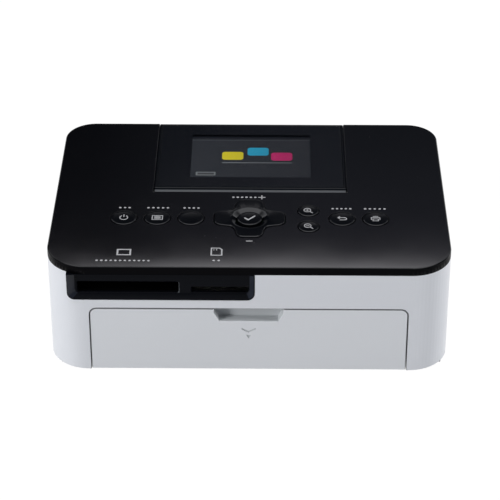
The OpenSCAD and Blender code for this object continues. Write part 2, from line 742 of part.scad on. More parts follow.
// Ring under the four-way key: the key rocks on its two upper ridges, and it rocks itself on two lower ones
module four_way_pad() {
    color("slategray") on_top(0, -key_row) {
        translate([0, 0, -cross_bottom - pad_post - pad_t]) difference() {
            cylinder(h = pad_t, r = pad_r + pad_w / 2);
            translate([0, 0, -1]) cylinder(h = pad_t + 2, r = pad_r - pad_w / 2);
        }
        upper = -cross_bottom - touch - ridge_r;
        lower = -key_board_top + touch + ridge_r;
        for (s = [-1, 1]) {
            translate([s * pad_r - pad_w / 2, 0, upper]) {
                rotate([0, 90, 0]) cylinder(h = pad_w, r = ridge_r);
                translate([0, -ridge_r, -cross_bottom - pad_post - small - upper])
                    cube([pad_w, 2 * ridge_r, upper + cross_bottom + pad_post + small]);
            }
            translate([0, s * pad_r + pad_w / 2, lower]) {
                rotate([90, 0, 0]) cylinder(h = pad_w, r = ridge_r);
                translate([-ridge_r, -pad_w, 0])
                    cube([2 * ridge_r, pad_w, -cross_bottom - pad_post - pad_t + small - lower]);
            }
        }
    }
}
module key_board() {
    color("darkgreen") on_top(0, 0) translate([-4.25 * key_pitch, -key_row - cross_reach - 2.6, -key_board_top - key_board_t])
        difference() {
            cube([8.5 * key_pitch, 2 * cross_reach + 5, key_board_t]);
            for (x = [3, 8.5 * key_pitch - 3], y = [3, 2 * cross_reach + 2])
                translate([x, y, -1]) cylinder(h = 4, r = 1.2);
        }
}
module key_switch(x, y, top) {
    on_top(x, y) {
        translate([-2, -2, -key_board_top + touch]) cube([4, 4, (key_board_top - top) * 0.6]);
        translate([0, 0, -key_board_top + touch]) cylinder(h = key_board_top - top - touch, r = 1.3);
    }
}
module key_switches() {
    color("goldenrod") {
        for (x = [power_x, menu_x, edit_x, 0, -menu_x, -power_x]) key_switch(x, -key_row, switch_top);
        for (s = [-1, 1]) {
            key_switch(-edit_x, -key_row + s * zoom_offset, switch_top);
            key_switch(s * arm_switch_r, -key_row, arm_switch_top);
            key_switch(0, -key_row + s * arm_switch_r, arm_switch_top);
        }
    }
}

// ---- Boards and sockets ----

module main_board() {
    color("seagreen") translate([0, 0, main_board_z]) linear_extrude(board_t) polygon([
        [wide_slot_x - socket_t - 1, main_board_front], [62, main_board_front], [62, main_board_back],
        [-inner_x + 1.6, main_board_back], [-inner_x + 1.6, host_usb_y - 7.4], [wide_slot_x - socket_t - 1, host_usb_y - 7.4]]);
}
module board_components() {
    color("dimgray") {
        // processor, memory and drivers on the main board
        for (c = [[14, -52, 18, 18, 1.6], [36, -52, 12, 14, 1.4], [14, -30, 9, 6, 1.2], [40, -34, 14, 8, 3.2]])
            translate([c[0], c[1], main_board_top + touch]) cube([c[2], c[3], c[4]]);
        // reservoir capacitors and coil on the power board
        translate([-hw, device_usb_y, power_board_z + board_t + touch]) {
            for (c = [[13, -15.4, 3.6, 14], [13, -8.2, 3, 14], [19, 14, 3, 11]])
                translate([c[0], c[1], 0]) cylinder(h = c[3], r = c[2]);
            translate([18, 0, 0]) cube([5, 8, 8]);
        }
    }
}
module card_socket(x, w, h, d) {
    difference() {
        translate([x - socket_t, socket_front, main_board_top + touch])
            cube([w + 2 * socket_t, d, socket_floor + h + socket_t - touch]);
        translate([x, socket_front - 1, slot_z]) cube([w, d - 1, h]);
    }
}
module wide_card_socket() {
    color("darkslategray") card_socket(wide_slot_x, wide_slot_w, wide_slot_h, wide_socket_d);
}
module narrow_card_socket() {
    color("silver") card_socket(narrow_slot_x, narrow_slot_w, narrow_slot_h, narrow_socket_d);
}
// A metal USB shell with its tongue, mouth towards the left
module usb_socket(y, z, w, h, foot, tongue) {
    x0 = -hw + 0.8;
    length = 11;
    translate([x0, y - w / 2, z - h / 2]) difference() {
        cube([length, w, h]);
        translate([-1, 0.5, 0.5]) cube([length, w - 1, h - 1]);
    }
    translate([x0 + 1, y - w / 2 + 1.6, z - tongue / 2]) cube([length - 1.5, w - 3.2, tongue]);
    translate([x0 + 2.2, y - w / 2 + 1, foot + touch]) cube([length - 3, w - 2, z - h / 2 - foot]);
}
module usb_host_socket() {
    color("silver") usb_socket(host_usb_y, host_usb_z, 13.2, 5.8, main_board_top, 1.8);
}
module usb_device_socket() {
    color("silver") usb_socket(device_usb_y, device_usb_z, 9, 8, power_board_z + board_t, 2.6);
}
module power_board() {
    color("seagreen") translate([0, 0, power_board_z]) linear_extrude(board_t) polygon([[-inner_x + 2, 10],
        [power_board_right, 10], [power_board_right, inner_y - 2], [bosses[2][0] + boss_r + 0.8, inner_y - 2],
        [bosses[2][0] + boss_r + 0.8, bosses[2][1] - boss_r - 0.8], [-inner_x + 2, bosses[2][1] - boss_r - 0.8]]);
}
module dc_socket() {
    color("black") difference() {
        union() {
            translate([dc_x - 4.5, inner_y - 12, power_board_z + board_t + touch]) cube([9, 11.8, 10]);
            rod_y([dc_x, dc_z], inner_y - 1, hd - 0.8, 4.1);
        }
        rod_y([dc_x, dc_z], inner_y - 9, hd + 1, 2.9);
    }
    color("silver") rod_y([dc_x, dc_z], inner_y - 10, hd - 2.4, 0.9);
}
// Flat cable that joins the two boards
module board_cable() {
    x = 56;
    y = main_board_front + 17;
    color("white") translate([x - 5.5, y, main_board_top + touch])
        cube([11, 0.4, top_z(y) - key_board_top - key_board_t - main_board_top - 0.4]);
}

// ---- Print mechanism ----

// Side plate outline, in Y and Z, from the pickup shaft to behind the head's pivot
plate_back = head_pivot[0] + 3.4;
plate_foot_l = 12;
plate_foot_y = [platen[0] - plate_foot_l, plate_back - 0.5 - plate_foot_l];
module plate_shape() {
    front = pickup[0] - 6;
    difference() {
        polygon([[front, floor_top], [plate_back, floor_top], [plate_back, head_pivot[1] + 2.9],
            [head_pivot[0] - 5, head_pivot[1] + 2.9], [head_pivot[0] - 5, arm_z + 0.8], [front, arm_z + 0.8]]);
        translate(feed) circle(feed_r + shaft_clear);
        translate(platen) circle(thin_shaft_r + shaft_clear);
        translate(pickup) circle(thin_shaft_r + shaft_clear);
        translate(pinch) circle(journal_r + shaft_clear);
    }
}
module foot_flange(x, y) {
    translate([x, y, floor_top + touch]) cube([7, plate_foot_l, steel_t]);
}
module left_side_plate() {
    color("lightsteelblue") {
        slab_x(left_plate_x - steel_t, steel_t) difference() {
            plate_shape();
            translate(takeup) circle(3.45);
        }
        for (y = plate_foot_y) foot_flange(left_plate_x - small, y);
    }
}
// The right plate has the window that the ink cassette slides through
module right_side_plate() {
    color("lightsteelblue") {
        slab_x(right_plate_x, steel_t) difference() {
            plate_shape();
            translate([supply[0] - barrel_r - window_clear, film_z - 0.3])
                square([takeup[0] - supply[0] + 2 * (barrel_r + window_clear),
                    takeup[1] + barrel_r + window_clear - film_z + 0.3]);
        }
        for (y = plate_foot_y) foot_flange(right_plate_x - 7 + small, y);
        rod_x(lever_at, right_plate_x + steel_t - small, right_plate_x + steel_t + 4, stud_r);
    }
}
// Bars that tie the plates together, and the shaft that the head arm turns on
module tie_bars() {
    color("silver") {
        rod_x(head_pivot, left_plate_x + touch, right_plate_x - touch, journal_r);
        for (p = [[platen[0] - 16, floor_top + 3.5], [plate_foot_y[1], floor_top + 9]])
            rod_x(p, left_plate_x + touch, right_plate_x - touch, 2);
    }
}
bracket_posts = [[feed[0] - 14, floor_top + 3.8], [feed[0] + 16, floor_top + 3.6],
    [takeup[0] + 6, platen[1] + 3], [feed[0], feed[1] + 19]];
module gear_bracket() {
    color("lightsteelblue") {
        slab_x(bracket_x, steel_t) difference() {
            polygon([[pinion[0] - motor_r, pinion[1] - motor_r + 1], [feed[0] - 6, floor_top + 1],
                [takeup[0] + 9, floor_top + 1], [takeup[0] + 9, takeup[1] + 6], [feed[0], feed[1] + 22],
                [feed[0] - 8, feed[1] + 22], [pinion[0] - motor_r, pinion[1] + motor_r]]);
            translate(pinion) circle(4.1);
        }
        for (p = bracket_posts) rod_x(p, bracket_x + steel_t - small, left_plate_x - steel_t - touch, 2.2);
        // studs that the two idlers turn on
        for (p = [feed_idler_at, ribbon_idler_at])
            rod_x(p, bracket_x + steel_t - small, left_plate_x - steel_t - touch, stud_r);
    }
}
module drive_motor() {
    color("silver") difference() {
        union() {
            rod_x(pinion, bracket_x - motor_l, bracket_x - touch, motor_r);
            rod_x(pinion, bracket_x - 1, bracket_x + steel_t, 4);
        }
        rod_x(pinion, bracket_x - 6, bracket_x + 4, 1 + hinge_clear);
    }
}
module motor_pinion() {
    color("goldenrod") {
        slab_x(gear_x, gear_w) translate(pinion) gear_shape(pinion_teeth, pinion_turn, 0.9);
        rod_x(pinion, bracket_x - 5, gear_x + gear_w, 1);
    }
}
module feed_roller() {
    color("silver") rod_x(feed, shaft_left, shaft_right, feed_r);
}
module feed_gear() {
    color("ivory") gear(feed, feed_teeth, 0, feed_r + touch, feed_r + 1);
}
module feed_idler() {
    color("ivory") gear(feed_idler_at, feed_idler_teeth, feed_idler_turn, stud_r + shaft_clear);
}
module platen_roller() {
    color("dimgray") difference() {
        rod_x(platen, left_plate_x + 6, right_plate_x - 6, platen_r - touch);
        rod_x(platen, left_plate_x, right_plate_x, thin_shaft_r + touch);
    }
}
module platen_shaft() {
    color("silver") rod_x(platen, shaft_left, shaft_right, thin_shaft_r);
}
module platen_gear() {
    color("ivory") gear(platen, platen_teeth, platen_turn, thin_shaft_r + shaft_clear, thin_shaft_r + 1.8);
}
module ribbon_idler() {
    color("ivory") gear(ribbon_idler_at, ribbon_idler_teeth, ribbon_idler_turn, stud_r + shaft_clear);
}
module takeup_gear() {
    color("ivory") {
        slab_x(gear_x, gear_w) translate(takeup) gear_shape(takeup_teeth, takeup_turn, 1);
        difference() {
            union() {
                rod_x(takeup, gear_x + gear_w - small, left_plate_x + 0.5, 3.4);
                rod_x(takeup, left_plate_x, cassette_left + cassette_wall, 2.4);
            }
            rod_x(takeup, gear_x, left_plate_x - 0.5, 1);
        }
    }
}
module pinch_roller() {
    color("dimgray") {
        rod_x(pinch, left_plate_x + roller_gap, right_plate_x - roller_gap, pinch_r);
        rod_x(pinch, left_plate_x - steel_t - 0.6, right_plate_x + steel_t + 0.6, journal_r);
    }
}
module pickup_roller() {
    color("dimgray") for (s = [-1, 1]) difference() {
        rod_x(pickup, paper_x + s * 14 - 6, paper_x + s * 14 + 6, pickup_r);
        rod_x(pickup, left_plate_x, right_plate_x, thin_shaft_r + touch);
    }
}
module pickup_shaft() {
    color("silver") rod_x(pickup, shaft_left, shaft_right, thin_shaft_r);
}
module pickup_gear() {
    color("ivory") gear(pickup, pickup_teeth, pickup_turn, thin_shaft_r + touch);
}
module thermal_head() {
    color("white") translate([paper_x - head_w / 2, platen[0] - head_half, head_z])
        cube([head_w, 2 * head_half, head_board_t]);
}
module heat_sink() {
    base = head_z + head_board_t + touch;
    color("lightgray") difference() {
        translate([paper_x - head_w / 2, platen[0] - sink_half, base])
            cube([head_w, 2 * sink_half, sink_top - base]);
        for (k = [-1, 0, 1]) translate([paper_x - head_w, platen[0] + k * 3 - 0.8, base + 5])
            cube([2 * head_w, 1.6, far]);
    }
}
module head_arm() {
    front = platen[0] - sink_half;
    color("lightsteelblue") difference() {
        union() {
            translate([paper_x - head_w / 2, front, arm_z]) cube([head_w, head_pivot[0] - front, arm_t]);
            rod_x(head_pivot, left_plate_x + roller_gap, right_plate_x - roller_gap, head_pivot_r);
            for (x = [paper_x - 40, paper_x + 28]) translate([x, front, sink_top + touch])
                cube([12, 2 * sink_half, arm_z - sink_top]);
        }
        rod_x(head_pivot, left_plate_x, right_plate_x, journal_r + shaft_clear);
    }
}
// Ramps that carry the paper between the rollers and out to the back slot
module paper_guide() {
    w = bay_w - 4;
    color("dimgray") translate([paper_x - w / 2, 0, 0]) {
        translate([0, feed[0] + feed_r + 1, paper_z - 2.4])
            cube([w, platen[0] - platen_r - feed[0] - feed_r - 2, 1.6]);
        translate([0, platen[0] + platen_r + 1, paper_z - 2.4])
            cube([w, inner_y - 3.4 - platen[0] - platen_r, 1.6]);
        for (y = [feed[0] + feed_r + 2, platen[0] + platen_r + 11])
            for (x = [0, w - 2]) translate([x, y, floor_top + touch])
                cube([2, 4, paper_z - 2.4 - floor_top]);
    }
}

// ---- Ink cassette ----

// Both barrels' ends as one plate
module cassette_end() {
    for (p = [supply, takeup]) translate(p) circle(barrel_r);
    translate([supply[0], supply[1] - 6]) square([takeup[0] - supply[0], 12]);
}
module ink_cassette() {
    barrel_x0 = cassette_left + cassette_wall - small;
    barrel_l = cassette_block - barrel_x0 + small;
    color("lightblue") {
        difference() {
            for (p = [supply, takeup]) rod_x(p, barrel_x0, barrel_x0 + barrel_l, barrel_r);
            for (p = [supply, takeup]) rod_x(p, barrel_x0 - 1, barrel_x0 + barrel_l + 1, barrel_in);
            // slots that the film leaves by
            for (y = [supply[0] + 1, takeup[0] - 7]) translate([barrel_x0 + 3, y, film_z - 1])
                cube([barrel_l - 6, 6, takeup[1] - barrel_r + 4 - film_z]);
        }
        difference() {
            slab_x(cassette_left, cassette_wall) cassette_end();
            rod_x(supply, cassette_left - 1, cassette_left + 3, journal_r + shaft_clear);
            rod_x(takeup, cassette_left - 1, cassette_left + 3, 2.9);
        }
        difference() {
            slab_x(cassette_block, cassette_right - cassette_block) cassette_end();
            for (p = [supply, takeup]) rod_x(p, cassette_block - 1, cassette_block + 3, journal_r + shaft_clear);
            // grip
            for (s = [-1, 1]) translate([right_plate_x + 4, (supply[0] + takeup[0]) / 2 - 9, takeup[1] + s * 5.5 - 2.5])
                cube([far, 18, 5]);
        }
    }
}
module spool(at, roll_r, right_end) {
    x0 = cassette_left + cassette_wall + 0.3;
    x1 = cassette_block - 0.3;
    rod_x(at, x0, x1, spool_r);
    for (x = [x0, x1 - 1]) rod_x(at, x, x + 1, flange_r);
    rod_x(at, x0 + 2, x1 - 2, roll_r);
    rod_x(at, x1 - small, x1 + 2.6, journal_r);
    if (right_end) rod_x(at, x0 - 1.4, x0 + small, journal_r);
}
module supply_spool() {
    color("gold") spool(supply, supply_roll_r, true);
}
module takeup_spool() {
    color("hotpink") spool(takeup, takeup_roll_r, false);
}
// Film from roll to roll under the head: it leaves each roll along the line that just touches it
function leave(at, r, p, side) = let (d = norm(p - at), a = atan2(p[1] - at[1], p[0] - at[0]))
    polar(at, r, a + side * acos(r / d));
module film_run(p, q) {
    n = film_t / 2 * [p[1] - q[1], q[0] - p[0]] / norm(q - p);
    polygon([p + n, q + n, q - n, p - n]);
}
module ink_ribbon() {
    g1 = [platen[0] - film_half, film_z];
    g2 = [platen[0] + film_half, film_z];
    color("orchid") slab_x(paper_x - head_w / 2 + 1, head_w - 2) {
        film_run(leave(supply, supply_roll_r + 0.2, g1, -1), g1);
        film_run(g1 - [film_t / 2, 0], g2 + [film_t / 2, 0]);
        film_run(g2, leave(takeup, takeup_roll_r + 0.2, g2, 1));
    }
}

// Lever that frees the ink cassette, on a stud of the right plate
lever_at = [supply[0] - barrel_r - 9, supply[1] - 3];
module release_lever() {
    x = right_plate_x + steel_t + 0.3;
    color("orange") difference() {
        union() {
            rod_x(lever_at, x, x + 2.4, 3.4);
            slab_x(x, 2.4) polygon([lever_at + [-2.4, 0], lever_at + [2.4, 0], lever_at + [2.8, 6],
                [supply[0] - barrel_r - 0.4, supply[1] + 1], [supply[0] - barrel_r - 0.4, supply[1] + 4],
                lever_at + [2, 9], lever_at + [1.6, 14], lever_at + [-1.6, 14]]);
            translate([x, lever_at[0] - 1.6, lever_at[1] + 12]) cube([8, 3.2, 2]);
        }
        rod_x(lever_at, x - 1, x + 4, stud_r + shaft_clear);
    }
}

outer_shell();
lower_case();
feet();
top_cover();
card_panel();
paper_door();
ink_door();
screen_frame();
screen_window();
picture_panel();
screen_hinge_pins();
power_key();
menu_key();
edit_key();
back_key();
print_key();
zoom_in_key();
zoom_out_key();
ok_key();
four_way_key();
four_way_pad();
key_board();
key_switches();
case_screws();
main_board();
board_components();
wide_card_socket();
narrow_card_socket();
usb_host_socket();
power_board();
dc_socket();
usb_device_socket();
board_cable();
left_side_plate();
right_side_plate();
tie_bars();
gear_bracket();
drive_motor();
motor_pinion();
feed_roller();
feed_gear();
feed_idler();
platen_roller();
platen_shaft();
platen_gear();
ribbon_idler();
takeup_gear();
pinch_roller();
pickup_roller();
pickup_shaft();
pickup_gear();
thermal_head();
heat_sink();
head_arm();
paper_guide();
ink_cassette();
supply_spool();
takeup_spool();
ink_ribbon();
release_lever();
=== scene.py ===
# %% [markdown]
# # A compact photo printer, from its solids to its looks
# The printer's shapes and joints come from a CAD model, packed as a frame that this script loads and never moves.
# Blender's work is what the CAD leaves out: softened edges, moulded keys, printed marks, and a finish for every
# piece.

# %% Load the frame
import json
import math

import bmesh
import bpy
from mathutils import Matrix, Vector


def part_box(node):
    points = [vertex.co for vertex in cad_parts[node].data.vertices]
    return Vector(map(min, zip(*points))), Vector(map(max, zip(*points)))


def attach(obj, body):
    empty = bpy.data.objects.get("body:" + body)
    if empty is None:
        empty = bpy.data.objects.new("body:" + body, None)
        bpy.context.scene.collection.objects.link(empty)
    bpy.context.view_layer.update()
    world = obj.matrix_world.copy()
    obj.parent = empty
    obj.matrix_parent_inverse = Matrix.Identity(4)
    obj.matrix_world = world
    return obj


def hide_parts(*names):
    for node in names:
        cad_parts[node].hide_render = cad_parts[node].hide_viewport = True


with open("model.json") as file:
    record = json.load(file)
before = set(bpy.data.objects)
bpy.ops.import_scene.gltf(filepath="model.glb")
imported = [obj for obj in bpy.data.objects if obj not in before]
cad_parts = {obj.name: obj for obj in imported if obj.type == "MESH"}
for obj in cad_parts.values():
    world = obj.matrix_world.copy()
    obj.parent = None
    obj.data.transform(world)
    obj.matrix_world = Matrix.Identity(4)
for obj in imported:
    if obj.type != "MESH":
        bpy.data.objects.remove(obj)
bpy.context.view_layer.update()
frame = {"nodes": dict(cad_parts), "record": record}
cad_nodes = frame["nodes"]

# %% [markdown]
# The case is 178 mm wide and 127 mm deep, and its top slopes: 56.4 mm above the table in front, 60.5 mm behind.
# Most visible pieces lie on that slope, so one function turns a place on it into a point in space. The names are in
# millimetres, because a printer is drawn in them, and one factor brings them to Blender's metres.

# %% The sloping top
MM = 0.001
CASE_W, CASE_D = 178.0, 127.0
FRONT_H, REAR_H = 56.4, 60.5
FRONT_Y = -CASE_D / 2
SLOPE = math.atan2(REAR_H - FRONT_H, CASE_D)


def top_height(y):
    return FRONT_H + (y - FRONT_Y) * math.tan(SLOPE)


def on_top(x, y, along=0.0, up=0.0):
    """A point above the place (x, y) on the top, in metres."""
    return Vector((x, y + along * math.cos(SLOPE) - up * math.sin(SLOPE),
                   top_height(y) + along * math.sin(SLOPE) + up * math.cos(SLOPE))) * MM


print("the top rises", round(math.degrees(SLOPE), 2), "degrees")

# %% [markdown]
# A finish is a graph of nodes. Written node by node it is hard to read, so two small classes help. `Wire` holds one
# output socket and turns `a * b + c` into Math nodes. `Graph` adds any node by its type, its settings and what goes
# into its sockets. Both serve materials and Geometry Nodes alike.

# %% Wires and graphs
class Wire:
    def __init__(self, graph, socket):
        self.graph, self.socket = graph, socket

    def math(self, operation, first, second=0.0, third=0.0):
        return self.graph.node("ShaderNodeMath", {"operation": operation}, {0: first, 1: second, 2: third})

    def __add__(self, other):
        return self.math("ADD", self, other)

    def __sub__(self, other):
        return self.math("SUBTRACT", self, other)

    def __rsub__(self, other):
        return self.math("SUBTRACT", other, self)

    def __mul__(self, other):
        return self.math("MULTIPLY", self, other)

    def __truediv__(self, other):
        return self.math("DIVIDE", self, other)

    def __pow__(self, other):
        return self.math("POWER", self, other)

    def __abs__(self):
        return self.math("ABSOLUTE", self)

    __radd__, __rmul__ = __add__, __mul__

    def above(self, level, blur):
        """0 under the level, 1 over it, with a soft step as wide as the blur."""
        return self.math("SMOOTH_MIN", self.math("SMOOTH_MAX", (self - level) / blur + 0.5, 0.0, 0.1), 1.0, 0.1)

    def largest(self, other):
        return self.math("MAXIMUM", self, other)

    def smallest(self, other):
        return self.math("MINIMUM", self, other)


class Graph:
    def __init__(self, tree):
        self.tree = tree
        tree.nodes.clear()

    def node(self, kind, settings=None, inputs=None, output=0):
        new = self.tree.nodes.new(kind)
        for key, value in (settings or {}).items():
            if key == "stops":
                ramp = new.color_ramp
                while len(ramp.elements) < len(value):
                    ramp.elements.new(0.5)
                for stop, (place, colour) in zip(ramp.elements, value):
                    stop.position, stop.color = place, (*colour, 1.0)
            else:
                setattr(new, key, value)
        for key, value in (inputs or {}).items():
            self.plug(new.inputs[key], value)
        return Wire(self, new.outputs[output]) if new.outputs else None

    def plug(self, socket, value):
        """Links a wire to a socket, or sets the socket's value. A colour is (red, green, blue)."""
        if isinstance(value, Wire):
            self.tree.links.new(value.socket, socket)
        else:
            socket.default_value = (*value, 1.0) if socket.type == "RGBA" else value

    def mix(self, share, first, second):
        """A colour between two colours."""
        return self.node("ShaderNodeMix", {"data_type": "RGBA"}, {0: share, 6: first, 7: second}, output=2)

    def place(self, scale=(1, 1, 1)):
        """Object coordinates in metres, stretched."""
        plain = self.node("ShaderNodeTexCoord", output="Object")
        return self.node("ShaderNodeMapping", {}, {"Vector": plain, "Scale": scale})

    def axis(self, name, space="Object"):
        """One coordinate of the place that is shaded."""
        return self.node("ShaderNodeSeparateXYZ", {}, {0: self.node("ShaderNodeTexCoord", output=space)}, output=name)

    def noise(self, where, scale, detail=2.0, roughness=0.5):
        return self.node("ShaderNodeTexNoise", {}, {"Vector": where, "Scale": scale, "Detail": detail,
                                                     "Roughness": roughness}, output="Fac")

    def vector(self, x=0.0, y=0.0, z=0.0):
        return self.node("ShaderNodeCombineXYZ", {}, {0: x, 1: y, 2: z})

    def cells(self, where, scale, randomness=1.0, feature="F1"):
        return self.node("ShaderNodeTexVoronoi", {"feature": feature},
                         {"Vector": where, "Scale": scale, "Randomness": randomness})

    def bump(self, height, distance_mm, strength=1.0):
        return self.node("ShaderNodeBump", {}, {"Height": height, "Distance": distance_mm * MM, "Strength": strength})


FINISHES = {}


def finish(name, **sockets):
    """A material with one Principled shader. Returns its graph and the sockets to fill."""
    material = bpy.data.materials.new(name)
    material.use_nodes = True
    graph = Graph(material.node_tree)
    shader = graph.node("ShaderNodeBsdfPrincipled").socket.node
    graph.node("ShaderNodeOutputMaterial", {}, {"Surface": Wire(graph, shader.outputs[0])})
    for key, value in sockets.items():
        graph.plug(shader.inputs[key.replace("_", " ")], value)
    FINISHES[name] = material
    return graph, shader


def coat(graph, shader, tint, roughness, bump=None):
    """Fills the sockets that vary over the surface. The tint is a wire or (share, tint, tint)."""
    if isinstance(tint, tuple):
        tint = graph.mix(*tint)
    for key, wire in ("Base Color", tint), ("Roughness", roughness), ("Normal", bump):
        if wire:
            graph.plug(shader.inputs[key], wire)


def darker(tint, share):
    return [part * share for part in tint]


print("helpers ready")

# %% [markdown]
# ## Moulded plastic
# The white ring of the case and its doors are injection-moulded ABS. Close up it has a fine spark-eroded grain,
# which softens its shine, and over a hand's width the tone drifts a little. Noise at two scales gives both, so no
# picture of plastic is needed. The same recipe, with other numbers, makes the grey base, the white gears and the
# dark cassettes.

# %% Moulded plastic
def moulded(name, tint, shine, grain_mm=0.35, depth_mm=0.01):
    graph, shader = finish(name, Specular_IOR_Level=0.4)
    where = graph.place()
    grain = graph.noise(where, 1000.0 / grain_mm, 2.0)
    cloud = graph.noise(where, 14.0, 3.0)
    coat(graph, shader, (cloud, darker(tint, 0.97), tint), cloud * 0.08 + grain * 0.06 + (shine - 0.07),
         graph.bump(grain, depth_mm, 0.5))


# The recess, seam and gap finishes in this table are painted shade: greyer whites for the door's scoop and engraving,
# the seams and the gaps round the doors, which little light reaches.
for name, tint, shine in [
        ("case_white", (0.785, 0.805, 0.845), 0.34), ("door_white", (0.79, 0.81, 0.84), 0.38),
        ("base_grey", (0.60, 0.61, 0.63), 0.5), ("gear_white", (0.78, 0.77, 0.72), 0.4),
        ("guide_black", (0.018, 0.018, 0.02), 0.45), ("cassette_grey", (0.16, 0.17, 0.185), 0.42),
        ("lever_orange", (0.72, 0.22, 0.03), 0.4), ("inlet_black", (0.014, 0.014, 0.015), 0.5),
        ("socket_dark", (0.0018, 0.0018, 0.002), 0.5), ("component_dark", (0.02, 0.02, 0.022), 0.35),
        ("cable_white", (0.72, 0.72, 0.70), 0.45), ("scoop_white", (0.62, 0.645, 0.665), 0.42),
        ("seam_grey", (0.13, 0.135, 0.142), 0.5), ("edge_grey", (0.30, 0.31, 0.325), 0.5)]:
    moulded(name, tint, shine)
print(len(FINISHES), "moulded finishes")

# %% [markdown]
# ## Gloss black
# The top is piano-black plastic. Its colour is nearly nothing, and what is seen is the room in its shine. Real
# gloss is never perfect: a trace of moulding waviness bends the reflections, faint smears change how sharp they
# are, and a few grains of dust lie on it. The keys are the same black with a softer polish.

# %% Gloss black
def gloss(name, tint, shine, level, dust=0.0, wave_mm=0.0):
    graph, shader = finish(name, Specular_IOR_Level=level)
    where = graph.place()
    smear = graph.noise(where, 22.0, 4.0, 0.6)
    speck = graph.cells(where, 520.0)
    chance = graph.noise(where, 190.0, 1.0)
    specks = (0.09 - speck).above(0.0, 0.05) * chance.above(0.7, 0.05) * dust
    coat(graph, shader, (specks, tint, (0.25, 0.25, 0.24)), smear * 0.07 + (shine - 0.03) + specks * 0.4,
         graph.bump(graph.noise(where, 30.0, 1.0), wave_mm) if wave_mm else None)


gloss("top_black", (0.0017, 0.0018, 0.0024), 0.04, 0.5, dust=0.3, wave_mm=0.01)
gloss("rim_black", (0.0016, 0.0015, 0.0022), 0.34, 0.03)
gloss("screen_edge", (0.0022, 0.0034, 0.0054), 0.30, 0.0)
# A painted highlight: this lighter grey marks edges that should show a bright line.
gloss("edge_shine", (0.075, 0.082, 0.09), 0.25, 0.4)
gloss("panel_black", (0.0034, 0.0040, 0.0062), 0.26, 0.05, dust=0.1)
# Painted light: the card panel's side walls get this lighter tone for the light that they catch.
gloss("panel_wall", (0.020, 0.023, 0.032), 0.26, 0.20)
gloss("key_black", (0.0028, 0.0034, 0.0048), 0.08, 0.05)
gloss("key_edge", (0.0026, 0.003, 0.0042), 0.10, 0.6)
gloss("screen_black", (0.0018, 0.0024, 0.0036), 0.07, 0.3)
print("gloss finishes made")

# %% [markdown]
# ## Rubber, metals and boards
# Inside, each family of parts has its own finish. Rubber is dull and pitted. Rolled and turned steel shows fine
# lines along the way that it was worked, which is noise stretched along one axis. A circuit board is green lacquer
# with copper tracks glowing through it: the tracks here are the edges of square cells, and tin dots sit on a grid.

# %% Rubber and metals
def rubber(name, tint):
    graph, shader = finish(name)
    pits = graph.noise(graph.place(), 1800.0, 3.0)
    coat(graph, shader, (pits, darker(tint, 0.8), tint), pits * 0.15 + 0.68, graph.bump(pits, 0.03, 0.6))


def metal(name, tint, shine, along=(1, 30, 30)):
    graph, shader = finish(name, Metallic=1.0)
    lines = graph.noise(graph.place(along), 130.0, 3.0)
    stain = graph.noise(graph.place(), 25.0, 2.0)
    coat(graph, shader, (stain, darker(tint, 0.88), tint), lines * 0.14 + stain * 0.06 + (shine - 0.1),
         graph.bump(lines, 0.004, 0.5))


rubber("foot_rubber", (0.05, 0.05, 0.052))
rubber("roller_rubber", (0.035, 0.035, 0.037))
rubber("pad_rubber", (0.16, 0.16, 0.165))
metal("chassis_steel", (0.60, 0.60, 0.585), 0.34, (3, 30, 3))
metal("screw_steel", (0.50, 0.50, 0.50), 0.34)
metal("pin_steel", (0.66, 0.66, 0.66), 0.22)
metal("motor_steel", (0.55, 0.55, 0.54), 0.3, (1, 20, 20))
metal("pinion_brass", (0.80, 0.58, 0.26), 0.28)
metal("sink_aluminium", (0.76, 0.77, 0.78), 0.36, (1, 25, 25))
metal("socket_metal", (0.66, 0.66, 0.65), 0.28)
metal("switch_gold", (0.78, 0.62, 0.34), 0.32)
metal("contact_gold", (0.92, 0.68, 0.28), 0.24)
print(len(FINISHES), "finishes so far")

# %% Boards, films and the head's ceramic
def board(name):
    graph, shader = finish(name)
    where = graph.place()
    tracks = (0.07 - graph.cells(where, 210.0, 0.35, "DISTANCE_TO_EDGE")).above(0.0, 0.03)
    chosen = graph.noise(where, 120.0, 1.0).above(0.55, 0.05)
    pads = (0.16 - graph.cells(where, 260.0, 0.15)).above(0.0, 0.04) * chosen
    lacquer = graph.mix(tracks, (0.006, 0.085, 0.032), (0.018, 0.17, 0.07))
    coat(graph, shader, graph.mix(pads, lacquer, (0.62, 0.60, 0.55)), 0.34 - tracks * 0.06,
         graph.bump(tracks, 0.03, 0.5))
    graph.plug(shader.inputs["Metallic"], pads * 0.9)


def film(name, tint, shine):
    """Dyed film: close lines run round a roll of it."""
    graph, shader = finish(name)
    lines = graph.noise(graph.place((40, 1, 1)), 60.0, 2.0)
    coat(graph, shader, (lines, darker(tint, 0.8), tint), lines * 0.1 + shine)


def dye_panels(name):
    """The ribbon between its rolls: yellow, magenta, cyan and clear panels follow each other."""
    graph, shader = finish(name)
    dyes = graph.node("ShaderNodeValToRGB", {"stops": [
        (0.0, (0.75, 0.60, 0.05)), (0.33, (0.55, 0.04, 0.22)), (0.36, (0.03, 0.30, 0.55)),
        (0.68, (0.05, 0.30, 0.55)), (0.72, (0.40, 0.40, 0.42))]}, {"Fac": graph.axis("Y") * 27.0 - 0.1})
    ripple = graph.noise(graph.place((1, 12, 1)), 40.0, 2.0)
    coat(graph, shader, dyes, ripple * 0.1 + 0.16, graph.bump(ripple, 0.05, 0.4))


board("board_green")
film("film_supply", (0.10, 0.06, 0.30), 0.2)
film("film_used", (0.16, 0.05, 0.14), 0.26)
dye_panels("film_clear")
moulded("head_ceramic", (0.66, 0.64, 0.58), 0.3, 0.2, 0.004)
print(len(FINISHES), "finishes so far")
